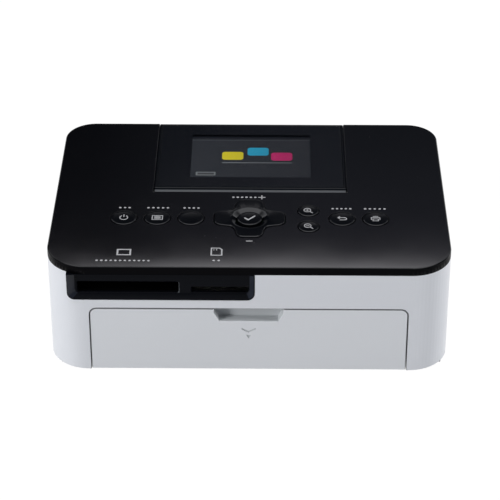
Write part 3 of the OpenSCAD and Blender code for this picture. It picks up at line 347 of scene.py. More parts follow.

# %% [markdown]
# ## The screen's glass and picture
# A tinted window covers the whole of the screen unit and hides all but the picture. One material does both: a mask
# on Object coordinates thins the surface, through Alpha, where the picture is, and leaves it opaque around it. The
# picture is a plain start-up page of this script's own: three round-cornered tiles, a hairline and a small bar. Along
# its rear edge it also carries a dark band of painted shade and a thin line of painted highlight.
# Each shape is a signed distance, which is under zero inside the shape, so a soft step turns it into a mask.

# %% Rounded boxes by distance
PICTURE_W, PICTURE_D, PICTURE_FRONT = 56.4, 39.6, 13.0


def rounded_box(graph, centre, half, radius, blur=0.12):
    """A mask: 1 inside a rounded box on the sloping top, in millimetres of x and of distance along the slope."""
    x = graph.axis("X") * 1000.0
    y = graph.axis("Y") * (1000.0 / math.cos(SLOPE))
    dx = abs(x - centre[0]) - (half[0] - radius)
    dy = abs(y - centre[1]) - (half[1] - radius)
    outside = (dx.largest(0.0) ** 2 + dy.largest(0.0) ** 2) ** 0.5
    inside = dx.largest(dy).smallest(0.0)
    return (radius - outside - inside).above(0.0, blur)


# %% The window
picture_centre = (0.0, PICTURE_FRONT + PICTURE_D / 2)
graph, shader = finish("screen_clear")
opening = rounded_box(graph, picture_centre, (PICTURE_W / 2, PICTURE_D / 2), 0.6)
smear = graph.noise(graph.place(), 26.0, 4.0)
coat(graph, shader, (opening, (0.0018, 0.0026, 0.0042), (0.003, 0.004, 0.006)), smear * 0.06 + 0.05)
graph.plug(shader.inputs["Alpha"], 1.0 - opening * 0.8)
print("window opening", PICTURE_W, "by", PICTURE_D, "mm")

# %% The picture
graph, shader = finish("screen_display", Roughness=0.25, Emission_Strength=1.0, Specular_IOR_Level=0.3,
                       Base_Color=(0.01, 0.01, 0.012))
lit = (0.019, 0.023, 0.029)
rear_edge = PICTURE_FRONT + PICTURE_D
# The first two entries are painted light: a dark band of painted shade where the well's rear wall is seen, and a thin
# light line under it, a painted highlight.
for centre, half, radius, dye in [
        ((0.0, rear_edge - 1.4), (PICTURE_W / 2, 1.5), 0.1, (0.008, 0.010, 0.014)),
        ((0.0, rear_edge - 3.1), (PICTURE_W / 2, 0.16), 0.05, (0.10, 0.115, 0.13)),
        ((-8.6, 34.6), (5.0, 3.7), 1.6, (0.93, 0.80, 0.02)),
        ((3.4, 38.6), (5.0, 3.7), 1.6, (0.02, 0.50, 0.80)),
        ((14.6, 34.0), (5.0, 3.7), 1.6, (0.85, 0.02, 0.22)),
        ((3.0, 28.2), (16.5, 0.28), 0.2, (0.28, 0.30, 0.32)),
        ((-21.0, 18.0), (4.6, 1.6), 0.5, (0.22, 0.24, 0.25)),
        ((-21.0, 18.0), (3.9, 0.9), 0.3, (0.06, 0.065, 0.07))]:
    lit = graph.mix(rounded_box(graph, centre, half, radius, 0.35), lit, dye)
shade_right = graph.axis("X").above(0.0, 0.06) * 0.6
graph.plug(shader.inputs["Emission Color"], graph.mix(shade_right, lit, (0.004, 0.005, 0.007)))
print("picture made of", len(graph.tree.nodes), "nodes")

# %% [markdown]
# ## Softened copies of the CAD's pieces
# CAD edges are perfectly sharp, and a perfectly sharp edge catches no light. So each visible piece is a copy of its
# node: its loose triangles are merged, flat faces are joined, the edges between faces are bevelled, and every large
# flat keeps its own normal up to its rim, so that it reflects like one. The Bevel modifier reads how round each
# edge is as a weight.

# %% Helpers for meshes
def placed(new_name, data):
    """A new object at the origin."""
    thing = bpy.data.objects.new(new_name, data)
    bpy.context.scene.collection.objects.link(thing)
    return thing


def modelled(new_name, work):
    """The object that a finished bmesh becomes."""
    mesh = bpy.data.meshes.new(new_name)
    work.to_mesh(mesh)
    work.free()
    return placed(new_name, mesh)


def copy_of(node):
    """A CAD node's mesh as a bmesh, with its loose triangles joined."""
    work = bmesh.new()
    work.from_mesh(cad_nodes[node].data)
    bmesh.ops.remove_doubles(work, verts=work.verts, dist=1e-6)
    return work


def settle(piece):
    """Applies the piece's modifiers, so that its mesh is plain."""
    shaped = bpy.data.meshes.new_from_object(piece.evaluated_get(bpy.context.evaluated_depsgraph_get()))
    piece.modifiers.clear()
    old, piece.data = piece.data, shaped
    bpy.data.meshes.remove(old)


FLAT_AREA = 6 * MM * MM
BEND = 28


def shade(piece, sharp_degrees=38):
    """Smooth faces, sharp edges where the surface turns hard, and normals that lie flat on the flats."""
    mesh = piece.data
    mesh.shade_smooth()
    mesh.set_sharp_from_angle(angle=math.radians(sharp_degrees))
    planes = {}
    for face in mesh.polygons:
        where = tuple(round(n, 2) for n in face.normal) + (round(face.center.dot(face.normal) / MM),)
        planes.setdefault(where, []).append(face)
    flats = [faces for faces in planes.values() if sum(face.area for face in faces) > FLAT_AREA]
    touching = {}
    for face in (face for faces in flats for face in faces):
        for vertex in face.vertices:
            touching.setdefault(vertex, []).append(face.normal.copy())
    normals = [corner.vector.copy() for corner in mesh.corner_normals]
    for face in mesh.polygons:
        for corner in face.loop_indices:
            near = [n for n in touching.get(mesh.loops[corner].vertex_index, []) if n.dot(face.normal) > 0.8]
            if near:
                normals[corner] = max(near, key=face.normal.dot)
    mesh.normals_split_custom_set(normals)


def show(piece, body, slot, *replaced):
    """Gives the piece its finish and its body, and hides the CAD nodes that it stands for."""
    piece.data.materials.clear()
    piece.data.materials.append(FINISHES[slot])
    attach(piece, body)
    if replaced:
        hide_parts(*replaced)
    print(piece.name, len(piece.data.polygons), "faces on", body)


def accent(piece, slots, choose):
    """Gives some faces another finish: choose(x, y, z, normal), in millimetres, is 0 or a place in slots from 1."""
    for slot in slots:
        piece.data.materials.append(FINISHES[slot])
    for face in piece.data.polygons:
        face.material_index = int(choose(*face.center / MM, face.normal))


def softened(node, new_name, width, segments=3):
    """A copy of a CAD node whose edges are bevelled by a width in mm."""
    work = copy_of(node)
    bmesh.ops.dissolve_limit(work, angle_limit=math.radians(0.6), verts=work.verts, edges=work.edges)
    bmesh.ops.triangulate(work, faces=work.faces, quad_method="BEAUTY", ngon_method="BEAUTY")
    weight = work.edges.layers.float.new("bevel_weight_edge")
    for edge in work.edges:
        bent = len(edge.link_faces) == 2 and edge.calc_face_angle(0.0) > math.radians(BEND)
        edge[weight] = float(bent)
    piece = modelled(new_name, work)
    bevel = piece.modifiers.new("bevel", "BEVEL")
    bevel.limit_method, bevel.width, bevel.segments = "WEIGHT", width * MM, segments
    bevel.use_clamp_overlap = bevel.loop_slide = False
    bevel.miter_outer = "MITER_SHARP"
    settle(piece)
    shade(piece)
    return piece


print("mesh helpers ready")

# %% [markdown]
# The camera comes next, because every later cell is judged through it. The picture was taken with a long lens from
# in front and above: the rear edge of the case is almost as wide as the front one.

# %% Camera
FILM_MM, PICTURE_PX, FOCAL_PX = 36.0, 500.0, 2006.6
camera_data = bpy.data.cameras.new("camera")
camera_data.sensor_width, camera_data.lens = FILM_MM, FOCAL_PX * FILM_MM / PICTURE_PX
camera_data.clip_start, camera_data.clip_end = 0.05, 50.0
camera = bpy.context.scene.camera = placed("camera", camera_data)
yaw, pitch = math.radians(-0.59), math.radians(31.10)
looks = Vector((math.sin(yaw) * math.cos(pitch), math.cos(yaw) * math.cos(pitch), -math.sin(pitch)))
camera.location = Vector((8.2, -803.2, 511.7)) * MM
camera.rotation_euler = looks.to_track_quat("-Z", "Y").to_euler()
print("lens", round(camera_data.lens, 1), "mm")

# %% [markdown]
# ## The case
# The cover and the ring have many openings, and a Bevel modifier folds over itself where a long thin face ends at
# one. So their edges are rounded the way a toolmaker would: by cutting. A block with a rounded upper rim is
# intersected with the cover, and for each opening a plug with a flared mouth is subtracted, which leaves a rounded
# lip. Every plug is a loft, a skin through rings of points that follow the opening's outline.

# %% Lofting rings
def join_loops(work, one, two):
    for i in range(len(one)):
        j = (i + 1) % len(one)
        work.faces.new((one[i], one[j], two[j], two[i]))


def loft(new_name, rings, wrap=False):
    """A skin through rings of points. Its ends become poles, or the last ring meets the first."""
    work = bmesh.new()
    rows = [[work.verts.new(point) for point in ring] for ring in rings]
    for low, high in zip(rows, rows[1:] + (rows[:1] if wrap else [])):
        join_loops(work, low, high)
    for row in () if wrap else (rows[0], rows[-1]):
        pole = work.verts.new(sum((v.co for v in row), Vector()) / len(row))
        for i, vertex in enumerate(row):
            work.faces.new((vertex, row[(i + 1) % len(row)], pole))
    bmesh.ops.recalc_face_normals(work, faces=work.faces)
    return modelled(new_name, work)


def carve(piece, operation, *tools):
    for tool in tools:
        cut = piece.modifiers.new("carve", "BOOLEAN")
        cut.operation, cut.object, cut.solver = operation, tool, "MANIFOLD"
    settle(piece)
    for tool in tools:
        bpy.data.objects.remove(tool)


def quarter(radius, steps=5):
    """(inward, down) pairs along a quarter round, from the upright side to the flat."""
    angles = [math.pi / 2 * i / steps for i in range(steps + 1)]
    return [(radius - radius * math.cos(a), radius - radius * math.sin(a)) for a in angles]


# %% Outline of the case
FRONT_R, REAR_R = 18, 14


def arc(cx, cy, radius, start, stop, steps=20):
    angles = [math.radians(start + (stop - start) * i / steps) for i in range(steps + 1)]
    return [(cx + radius * math.cos(a), cy + radius * math.sin(a)) for a in angles]


def corner(cx, cy, radius, start, steps=20):
    return arc(cx, cy, radius, start, start + 90, steps)


def plan(inset=0.0):
    """The case seen from above, anticlockwise from the rear right corner."""
    points = []
    for side_x, side_y, radius, start in [
            (1, 1, REAR_R, 0), (-1, 1, REAR_R, 90), (-1, -1, FRONT_R, 180), (1, -1, FRONT_R, 270)]:
        points += corner(side_x * (CASE_W / 2 - radius), side_y * (CASE_D / 2 - radius), radius - inset, start)
    return points


rings = [[Vector((x, y, 20)) * MM for x, y in plan(-0.02)]]
for inward, down in quarter(0.8):
    rings.append([on_top(x, y, 0, 0.02 - down) for x, y in plan(inward - 0.02)])
cover_block = loft("cover_block", rings)
print("cover block", len(cover_block.data.polygons), "faces")

# %% Lips of the openings in the cover
TOP_LIP, WALL_LIP = 0.12, 0.3


def plug(lip, outline, stand):
    """A plug with a flared mouth. outline(grow) gives its points in mm, and stand(point, depth) their places."""
    rings = [[stand(point, -0.4) for point in outline(lip)]]
    for inward, down in quarter(lip, 4)[::-1]:
        rings.append([stand(point, down - 0.004) for point in outline(inward - 0.006)])
    return loft("plug", rings)


def top_plug(outline):
    """A plug for a hole in the top. Its outline is in x, and in y along the slope from the middle."""
    return plug(TOP_LIP, outline, lambda point, depth: on_top(point[0], 0, point[1], -depth))


KEY_ROW = -23.2
KEY_R, ZOOM_R, OK_R, KEY_GAP = 5.8, 4.7, 5.6, 0.35
KEYS = {name: (x, KEY_ROW, KEY_R) for name, x in [
    ("power", -56.625), ("menu", -41.525), ("edit", -26.425), ("back", 41.525), ("print", 56.625)]}
for name, step in (("zoom_in", 6.6), ("zoom_out", -6.6)):
    KEYS[name] = (26.425, KEY_ROW + step, ZOOM_R)
ARM_REACH, ARM_HALF, WAIST = 15.8, 6.4, 10.1
TILT_ROOM = 0.12
SCREEN_HALF, SCREEN_GAP = 44.2, 0.4
TURN = [math.tau * i / 64 for i in range(64)]


def round_hole(x, y, radius):
    middle = y / math.cos(SLOPE)
    return lambda grow: [(x + (radius + grow) * math.cos(a), middle + (radius + grow) * math.sin(a)) for a in TURN]


def bar_reach(angle, long, wide):
    return ((abs(math.cos(angle)) / long) ** 5 + (abs(math.sin(angle)) / wide) ** 5) ** -0.2


def cross_outline(angle):
    """Distance from the middle to the edge of the four-way key: two rounded bars and a disc, blended."""
    bars = sum(bar_reach(angle + turn, ARM_REACH, ARM_HALF) ** 9 for turn in (0, math.pi / 2))
    return (bars + WAIST ** 9) ** (1 / 9)


def cross_hole(grow):
    middle = KEY_ROW / math.cos(SLOPE)
    angles = [math.radians(5 * i) for i in range(72)]
    reach = [cross_outline(a) + KEY_GAP + TILT_ROOM + grow for a in angles]
    return [(r * math.cos(a), middle + r * math.sin(a)) for r, a in zip(reach, angles)]


def tray_hole(grow):
    half, near = SCREEN_HALF + SCREEN_GAP + grow, -SCREEN_GAP - grow
    return [(-half, near), (half, near), (half, 80.0), (-half, 80.0)]


plugs = [top_plug(round_hole(x, y, radius + KEY_GAP)) for x, y, radius in KEYS.values()]
plugs += [top_plug(cross_hole), top_plug(tray_hole)]
cover = modelled("black_cover", copy_of("top_cover"))
carve(cover, "INTERSECT", cover_block)
carve(cover, "DIFFERENCE", *plugs)

# %% [markdown]
# Thin strips fill the gaps beside the screen to just under the surface, as the real seals do, so that no light
# falls into the tray.

# %% Seals beside the screen
seals = bmesh.new()
seals.from_mesh(cover.data)
for side in (-1, 1):
    plan_points = [(44.3, 3.5), (45.2, 3.5), (45.2, 63.1), (44.3, 63.1)]
    low, high = ([seals.verts.new(on_top(side * x, 0, y, up)) for x, y in plan_points] for up in (-3.2, -0.45))
    walls = [seals.faces.new((low[i], low[(i + 1) % 4], high[(i + 1) % 4], high[i])) for i in range(4)]
    bmesh.ops.recalc_face_normals(seals, faces=walls + [seals.faces.new(high), seals.faces.new(low[::-1])])
seals.to_mesh(cover.data)
seals.free()
shade(cover)
show(cover, "case", "top_black", "top_cover")
accent(cover, ["rim_black"], lambda x, y, z, normal: normal.z < 0.35)

# %% [markdown]
# The white ring gets a rounded foot, and lips round its two doors and its card panel. The doors' openings are
# upright, so their plugs go inwards from a side of the case instead of down.

# %% White ring
GROUND_GAP, SEAM = 3.0, 0.35
DOOR_R, DOOR_T = 3.35, 2.3
PAPER_DOOR, INK_DOOR = (139.6, 32.0), (84.0, 46.0)
INK_DOOR_Y = 7.2


def door_hole(width, height):
    """An opening that stands on the ring's foot, with round upper corners."""
    def outline(grow):
        half, top, radius = width / 2 + SEAM + grow, GROUND_GAP + height + SEAM + grow, DOOR_R + grow
        return [(-half, -5.0), (half, -5.0)] + corner(half - radius, top - radius, radius, 0, 8) + \
            corner(radius - half, top - radius, radius, 90, 8)
    return outline


def panel_outline(x0, x1, z0, z1, radius):
    """A rectangle with its lower corners round, from its upper left corner down and round."""
    return [(x0, z1)] + corner(x0 + radius, z0 + radius, radius, 180, 8) + \
        corner(x1 - radius, z0 + radius, radius, 270, 8) + [(x1, z1)]


def panel_hole(grow):
    return panel_outline(-79.6 - grow, 2.7 + grow, 39.5 - grow, 80.0, 3.5 + grow)


def on_front(point, depth):
    return Vector((point[0], depth + FRONT_Y, point[1])) * MM


def on_right(point, depth):
    return Vector((CASE_W / 2 - depth, point[0] + INK_DOOR_Y, point[1])) * MM


rings = []
for inward, down in quarter(0.6)[::-1]:
    rings.append([Vector((x, y, GROUND_GAP - 0.02 + down)) * MM for x, y in plan(inward - 0.02)])
rings.append([Vector((x, y, 80)) * MM for x, y in plan(-0.02)])
ring = modelled("white_ring", copy_of("outer_shell"))
carve(ring, "INTERSECT", loft("ring_block", rings))
carve(ring, "DIFFERENCE", plug(WALL_LIP, door_hole(*PAPER_DOOR), on_front), plug(WALL_LIP, panel_hole, on_front),
      plug(WALL_LIP, door_hole(*INK_DOOR), on_right))
shade(ring)
show(ring, "case", "case_white", "outer_shell")


# The walls of the ring's openings, in the gaps round the doors, get painted shade.
def ring_seam_shade(x, y, z, normal):
    front = y - FRONT_Y < DOOR_T and z < 36.5 and abs(x) < 70.6 and abs(normal.y) < 0.98
    side = CASE_W / 2 - x < DOOR_T and z < 50.5 and abs(y - INK_DOOR_Y) < 43 and abs(normal.x) < 0.98
    return front or side


accent(ring, ["seam_grey"], ring_seam_shade)

# %% [markdown]
# The doors carry their own finger scoops. The front one has a mark that says which way it opens, a chevron over a
# small triangle, engraved 0.4 mm deep. The faces in the seams, the scoop and the engraving get painted shade:
# greyer finishes, because so little light reaches them.

# %% Doors
def engrave(piece, *outlines):
    """Cuts outlines, in x and z, into an upright front face."""
    carve(piece, "DIFFERENCE", *[loft("engraving", [[on_front(point, depth) for point in outline]
                                                    for depth in (-0.5, 0.4)]) for outline in outlines])


front_door = softened("paper_door", "front_door", 0.22)
engrave(front_door, *[[(side * x, z) for x, z in ((-3.2, 25.4), (-3.2, 24.6), (0.1, 22.9), (0.1, 23.7))]
                      for side in (1, -1)], [(-1.1, 21.6), (1.1, 21.6), (0.0, 19.8)])
shade(front_door)
show(front_door, "paper_door", "door_white", "paper_door")


# The scoop and the engraved mark get painted shade, and so do the door's side faces in the gap.
def front_door_shade(x, y, z, normal):
    depth = y - FRONT_Y
    if (abs(x) < 15.4 and depth > 0.35 and z > 28.4) or (abs(x) < 3.5 and depth > 0.02 and 19 < z < 26):
        return 1
    return 2 if abs(x) > 15.8 and depth < DOOR_T and abs(normal.y) < 0.98 else 0


accent(front_door, ["scoop_white", "edge_grey"], front_door_shade)
side_door = softened("ink_door", "side_door", 0.22)
show(side_door, "ink_door", "door_white", "ink_door")
# Its faces in the gap round it get painted shade.
accent(side_door, ["edge_grey"], lambda x, y, z, normal: CASE_W / 2 - x < DOOR_T and abs(normal.x) < 0.98)

# %% [markdown]
# The screen unit is a frame, a tinted glass over all of it and the picture under the glass. Its front edge stands a
# little above the cover; its most forward faces get a lighter grey, a painted highlight, and their gloss adds a real
# reflection, so the edge shows as one bright line.

# %% Screen unit
screen_tray = softened("screen_frame", "screen_tray", 0.3)
show(screen_tray, "screen", "screen_black", "screen_frame")
# The tray's front faces: those turned forward lose their shine, and the most forward get the painted highlight.
accent(screen_tray, ["screen_edge", "edge_shine"],
       lambda x, y, z, normal: (normal.y < -0.1) + (normal.y < -0.5) if y < 3 else 0)
glass = softened("screen_window", "screen_glass", 0.2)
show(glass, "screen", "screen_clear", "screen_window")
accent(glass, ["screen_edge"], lambda x, y, z, normal: normal.y < -0.1)
show(softened("picture_panel", "screen_picture", 0.1, 1), "screen", "screen_display", "picture_panel")

# %% [markdown]
# ## Keys
# Each round key is a turned part: one profile of (radius, height) pairs, swept round. The crown is gently domed and
# its rim rounded, which gives every key the bright crescent at its near side. A ring of points per profile step,
# joined by quads and closed at the poles, is all that a lathe does, so one helper serves the keys and the four-way
# key.

# %% Turned pieces
def circle(x, radius, up, turns=TURN, y=KEY_ROW):
    return [on_top(x + radius * math.cos(a), y, radius * math.sin(a), up) for a in turns]


def key_profile(radius, flange):
    stem = [(1.6, -4.0), (1.6, -2.5)]
    if flange:
        stem = [(1.6, -4.0), (1.6, -3.2), (radius + 1.0, -3.2), (radius + 1.0, -2.5)]
    angles = [math.pi / 2 * i / 7 for i in range(8)]
    edge = [(radius - 0.55 * (1 - math.cos(a)), 0.36 * math.sin(a) - 0.1) for a in angles]
    crown = [(radius * share, 0.26 - 0.05 * (1 - (share / 0.9) ** 2)) for share in (0.8, 0.6, 0.4, 0.2)]
    return stem + [(radius, -2.5), (radius, -0.3)] + edge + crown


def polished(key, body):
    """Shows a key whose top is satin and whose near edge is gloss."""
    shade(key, 50)
    show(key, body, "key_black", body)
    accent(key, ["key_edge"], lambda x, y, z, normal: normal.y < -0.15)


# %% Round keys
KEYS["ok"] = (0.0, KEY_ROW, OK_R)
for name, (x, y, radius) in KEYS.items():
    rings = [circle(x, reach, up, y=y) for reach, up in key_profile(radius, flange=name != "ok")]
    polished(loft(name + "_button", rings), name + "_key")

# %% [markdown]
# The four-way key is a rounded cross with a dished middle. Its outline follows a rule: two rounded bars and a disc,
# blended by a power mean. The same rule at smaller sizes gives the rings of its upper face, which runs down into
# the dish, over the rounded shoulder and down its side.

# %% Four-way key
angles = [math.tau * i / 144 for i in range(144)]
dish = [(0, -3.6), (0, -0.8), (0.33, -0.4), (0.62, 0.02), (0.86, 0.27), (1, 0.35)]
cross_rings = [circle(0, OK_R + 0.6 + 2.6 * share, up, angles) for share, up in dish]
for share, inset, up in [(0.35, 0, 0.39), (0.75, 0, 0.41), (1, 0.62, 0.42), (1, 0.40, 0.39), (1, 0.2, 0.28),
                         (1, 0.06, 0.1), (1, 0, -0.15), (1, 0, -3.6)]:
    inner = OK_R + 3.2
    reach = [inner + (cross_outline(a) - inset - inner) * share for a in angles]
    cross_rings.append([on_top(r * math.cos(a), KEY_ROW, r * math.sin(a), up) for r, a in zip(reach, angles)])
polished(loft("four_way_button", cross_rings, wrap=True), "four_way_key")

# %% [markdown]
# ## The card panel
# The sunken panel in front holds the two card slots. Its walls slope from the case's surface to a floor 2.5 mm
# behind, and that floor is pierced by the slots. A flat face with holes is filled between its edge loops, and the
# walls are quads between an outer loop and an inner one.

# %% Card panel
PANEL_X0, PANEL_X1, PANEL_Z, RIM_H = -79.45, 2.55, 39.65, 3.7
PANEL_TOP = top_height(FRONT_Y) - RIM_H - 0.15
PANEL_R, FLOOR_DEPTH, BACK_DEPTH = 3.35, 2.5, 4.1
SLOTS = [(-75.3, -30.3, 41.8, 47.7), (-25.3, 0.1, 41.8, 45.2)]


def slot_outline(slot, inset, radius):
    x0, x1, z0, z1 = (edge + side * inset + side * radius for edge, side in zip(slot, (1, -1, 1, -1)))
    return [point for x, z, start in ((x0, z0, 180), (x1, z0, 270), (x1, z1, 0), (x0, z1, 90))
            for point in corner(x, z, radius, start, 3)]


def fill_between(work, *loops):
    """A flat face with holes: the first loop is its rim."""
    edges = []
    for loop in loops:
        for i in range(len(loop)):
            pair = (loop[i], loop[(i + 1) % len(loop)])
            edges.append(work.edges.get(pair) or work.edges.new(pair))
    bmesh.ops.triangle_fill(work, use_beauty=True, use_dissolve=False, edges=edges)


def add_loop(work, points, depth):
    return [work.verts.new(on_front(point, depth)) for point in points]


def add_panel_loop(left, right, low, high, radius, depth):
    outline = panel_outline(PANEL_X0 + left, PANEL_X1 - right, PANEL_Z + low, PANEL_TOP - high, radius)
    return add_loop(work, outline, depth)


work = bmesh.new()
rim = add_panel_loop(0, 0, 0, 0, PANEL_R, 0)
brow = add_panel_loop(0.35, 0.35, 0.35, 0.3, 3.2, 0)
floor_loop = add_panel_loop(3.3, 2.2, 2.0, 1.2, 2.2, FLOOR_DEPTH)
back = add_panel_loop(0, 0, 0, 0, PANEL_R, BACK_DEPTH)
slot_loops = []
for slot in SLOTS:
    lip = add_loop(work, slot_outline(slot, 0.0, 0.8), FLOOR_DEPTH)
    mouth = add_loop(work, slot_outline(slot, 0.3, 0.5), FLOOR_DEPTH + 0.3)
    end = add_loop(work, slot_outline(slot, 0.3, 0.5), BACK_DEPTH)
    join_loops(work, lip, mouth)
    join_loops(work, mouth, end)
    slot_loops.append((lip, end))
join_loops(work, rim, brow)
join_loops(work, brow, floor_loop)
join_loops(work, rim, back)
fill_between(work, floor_loop, *[lip for lip, end in slot_loops])
fill_between(work, back, *[end for lip, end in slot_loops])
bmesh.ops.recalc_face_normals(work, faces=work.faces)
card_fascia = modelled("card_fascia", work)
shade(card_fascia, 35)
show(card_fascia, "case", "panel_black", "card_panel")


# The side walls get the lighter finish, painted light, and the faces at the wide slot's right end get the painted
# highlight.
def panel_painted_light(x, y, z, normal):
    depth = y - FRONT_Y
    if depth < 2.4 and abs(normal.x) > 0.3:
        return 1
    return 2 if 2.5 < depth < 2.8 and -31.2 < x < -30.2 else 0


accent(card_fascia, ["panel_wall", "edge_shine"], panel_painted_light)

# %% [markdown]
# ## Printed marks
# The marks on the top are silk-screened ink, a few hundredths of a millimetre thick. Flat strokes are drawn in
# millimetres on the slope and given that thickness, so they stay on the surface from every side. Where the real
# printer has words, rows of plain dots keep their place and their tone.

# %% Strokes
graph, shader = finish("mark_ink", Specular_IOR_Level=0.4)
wear = graph.noise(graph.place(), 900.0, 2.0)
coat(graph, shader, (wear, (0.40, 0.40, 0.41), (0.62, 0.62, 0.63)), wear * 0.2 + 0.45)


def stroke(points, width, closed=False):
    """A line of even width through points, as quads in the plane that meet in mitres at its corners."""
    places = [Vector(point) for point in points]
    count = len(places)
    sides = []
    for i, place in enumerate(places):
        before, after = places[i - 1], places[(i + 1) % count]
        ways = [(place - before).normalized(), (after - place).normalized()]
        if not closed and i in (0, count - 1):
            ways = ways[1:] * 2 if i == 0 else ways[:1] * 2
            place = place + ways[0] * width * (0.25 if i else -0.25)
        half = (ways[0] + ways[1]).orthogonal().normalized()
        half *= width / 2 / max(half.dot(ways[0].orthogonal()), 0.4)
        sides.append((place + half, place - half))
    pairs = list(zip(sides, sides[1:])) + ([(sides[-1], sides[0])] if closed else [])
    return [[tuple(one[0]), tuple(one[1]), tuple(two[1]), tuple(two[0])] for one, two in pairs]


INK_FOOT, INK_TOP = -0.04, 0.05


def printed(new_name, body, x, y, lines, up=0.0):
    """Strokes near (x, y) on the top, as thin raised ink. Each line is (points, width) or (points, width, True)."""
    work = bmesh.new()
    for polygon in [quad for line in lines for quad in stroke(*line)]:
        low, high = ([work.verts.new(on_top(x + px, y, py, up + height)) for px, py in polygon]
                     for height in (INK_FOOT, INK_TOP))
        work.faces.new(high)
        work.faces.new(low[::-1])
        join_loops(work, low, high)
    bmesh.ops.recalc_face_normals(work, faces=work.faces)
    show(modelled(new_name, work), body, "mark_ink")


def box(x0, y0, x1, y1):
    return [(x0, y0), (x1, y0), (x1, y1), (x0, y1)]


# %% Marks on the keys
KEY_TOP = 0.24
lens = [(arc(-0.4, 0.4, 1.5, 0, 360), 0.36), ([(0.7, -0.7), (1.9, -1.9)], 0.5)]
minus = [([(-1.1, 0.4), (0.3, 0.4)], 0.34)]
plus = minus + [([(-0.4, -0.3), (-0.4, 1.1)], 0.34)]
for name, key, lines in [
        ("power", "power", [(arc(0, -0.1, 1.75, 125, 415), 0.42), ([(0, 0.5), (0, 2.3)], 0.42)]),
        ("list", "menu", [(box(-2.3, -1.7, 2.3, 1.7), 0.36, True)] + [
            ([(-1.4, row), (1.4, row)], 0.36) for row in (0.75, 0, -0.75)]),
        ("zoom_in", "zoom_in", lens + plus), ("zoom_out", "zoom_out", lens + minus),
        ("back", "back", [
            ([(-1.9, 0.7), (1.1, 0.7)] + arc(1.1, -0.25, 0.95, 90, -90, 10) + [(-1.0, -1.2)], 0.38),
            ([(-1.0, 1.6), (-1.9, 0.7), (-1.0, -0.2)], 0.38)]),
        ("print", "print", [
            ([(-1.9, -0.9), (-1.9, 0.9), (1.9, 0.9), (1.9, -0.9)], 0.38), (box(-1.2, -1.8, 1.2, -0.3), 0.34, True),
            ([(-1.1, 1.9), (1.1, 1.9)], 0.38)]),
        ("check", "ok", [([(-2.2, 0.1), (-0.6, -1.5), (2.3, 1.7)], 0.7)])]:
    printed(name + "_mark", key + "_key", *KEYS[key][:2], lines, KEY_TOP)

# %% Marks on the cover
printed("wide_card_mark", "case", -54.8, -51.5, [(box(-2.8, -2.1, 2.8, 2.1), 0.75, True)])
printed("narrow_card_mark", "case", -14.2, -50.9, [
    ([(-2.3, -2.7), (2.3, -2.7), (2.3, 1.9), (1.2, 3.0), (-2.3, 3.0)], 0.6, True),
    ([(-1.2, 2.2), (-1.2, 1.2)], 0.3), ([(0.0, 2.2), (0.0, 1.2)], 0.3)])
printed("more_mark", "case", 5.4, -5.0, [([(-1.5, 0), (1.5, 0)], 0.55), ([(0, -1.5), (0, 1.5)], 0.55)])
printed("fewer_mark", "case", 0.0, -42.0, [([(-1.3, 0), (1.3, 0)], 0.55)])

# %% [markdown]
# The rows of dots repeat one small disc at many places, which is work for Geometry Nodes: the script makes a mesh
# of bare points, the tree puts a disc on each, tilted with the slope, and Realize Instances turns them into one
# mesh. Every tree here starts with the same few steps, so a helper builds the group and its named sizes.

# %% A tree that puts one shape on every point
def stamp_tree(name, draw, sizes):
    """A Geometry Nodes group: draw(graph, sizes as wires) gives the shape, and each point of the input gets one."""
    tree = bpy.data.node_groups.new(name, "GeometryNodeTree")
    graph = Graph(tree)
    kinds = {"Points": "Geometry", **{size: "Float" for size in sizes}, "Tilt": "Rotation", "Finish": "Material"}
    for size, kind in kinds.items():
        socket = tree.interface.new_socket(size, in_out="INPUT", socket_type="NodeSocket" + kind)
        if size in sizes:
            socket.default_value = sizes[size]
    tree.interface.new_socket("Shape", in_out="OUTPUT", socket_type="NodeSocketGeometry")
    entry = graph.node("NodeGroupInput").socket.node
    wires = {socket.name: Wire(graph, socket) for socket in entry.outputs if socket.name}
    shape = draw(graph, wires)
    copies = graph.node("GeometryNodeInstanceOnPoints", {},
                        {"Points": wires["Points"], "Instance": shape, "Rotation": wires["Tilt"]})
    real = graph.node("GeometryNodeRealizeInstances", {}, {0: copies})
    made = graph.node("GeometryNodeSetMaterial", {}, {"Geometry": real, "Material": wires["Finish"]})
    graph.node("NodeGroupOutput", {}, {0: made})
    return tree


def stamped(new_name, tree, points, tilt, slot, body, **sizes):
    """Runs a stamp tree on points in metres, and keeps the plain mesh."""
    mesh = bpy.data.meshes.new(new_name)
    mesh.from_pydata([tuple(p) for p in points], [], [])
    piece = placed(new_name, mesh)
    stamp = piece.modifiers.new("stamp", "NODES")
    stamp.node_group = tree
    sizes = {**sizes, "Tilt": tilt, "Finish": FINISHES[slot]}
    for item in tree.interface.items_tree:
        if item.item_type == "SOCKET" and item.in_out == "INPUT" and item.name in sizes:
            stamp[item.identifier] = sizes[item.name]
    settle(piece)
    show(piece, body, slot)
    return piece


def cylinder(graph, corners, radius, height):
    return graph.node("GeometryNodeMeshCylinder", {"fill_type": "NGON"},
                      {"Vertices": corners, "Radius": radius, "Depth": height})


def draw_disc(graph, size):
    return cylinder(graph, 10, size["Radius"], size["Height"])


disc_tree = stamp_tree("disc_on_points", draw_disc, {"Radius": 0.0004, "Height": 0.00009})

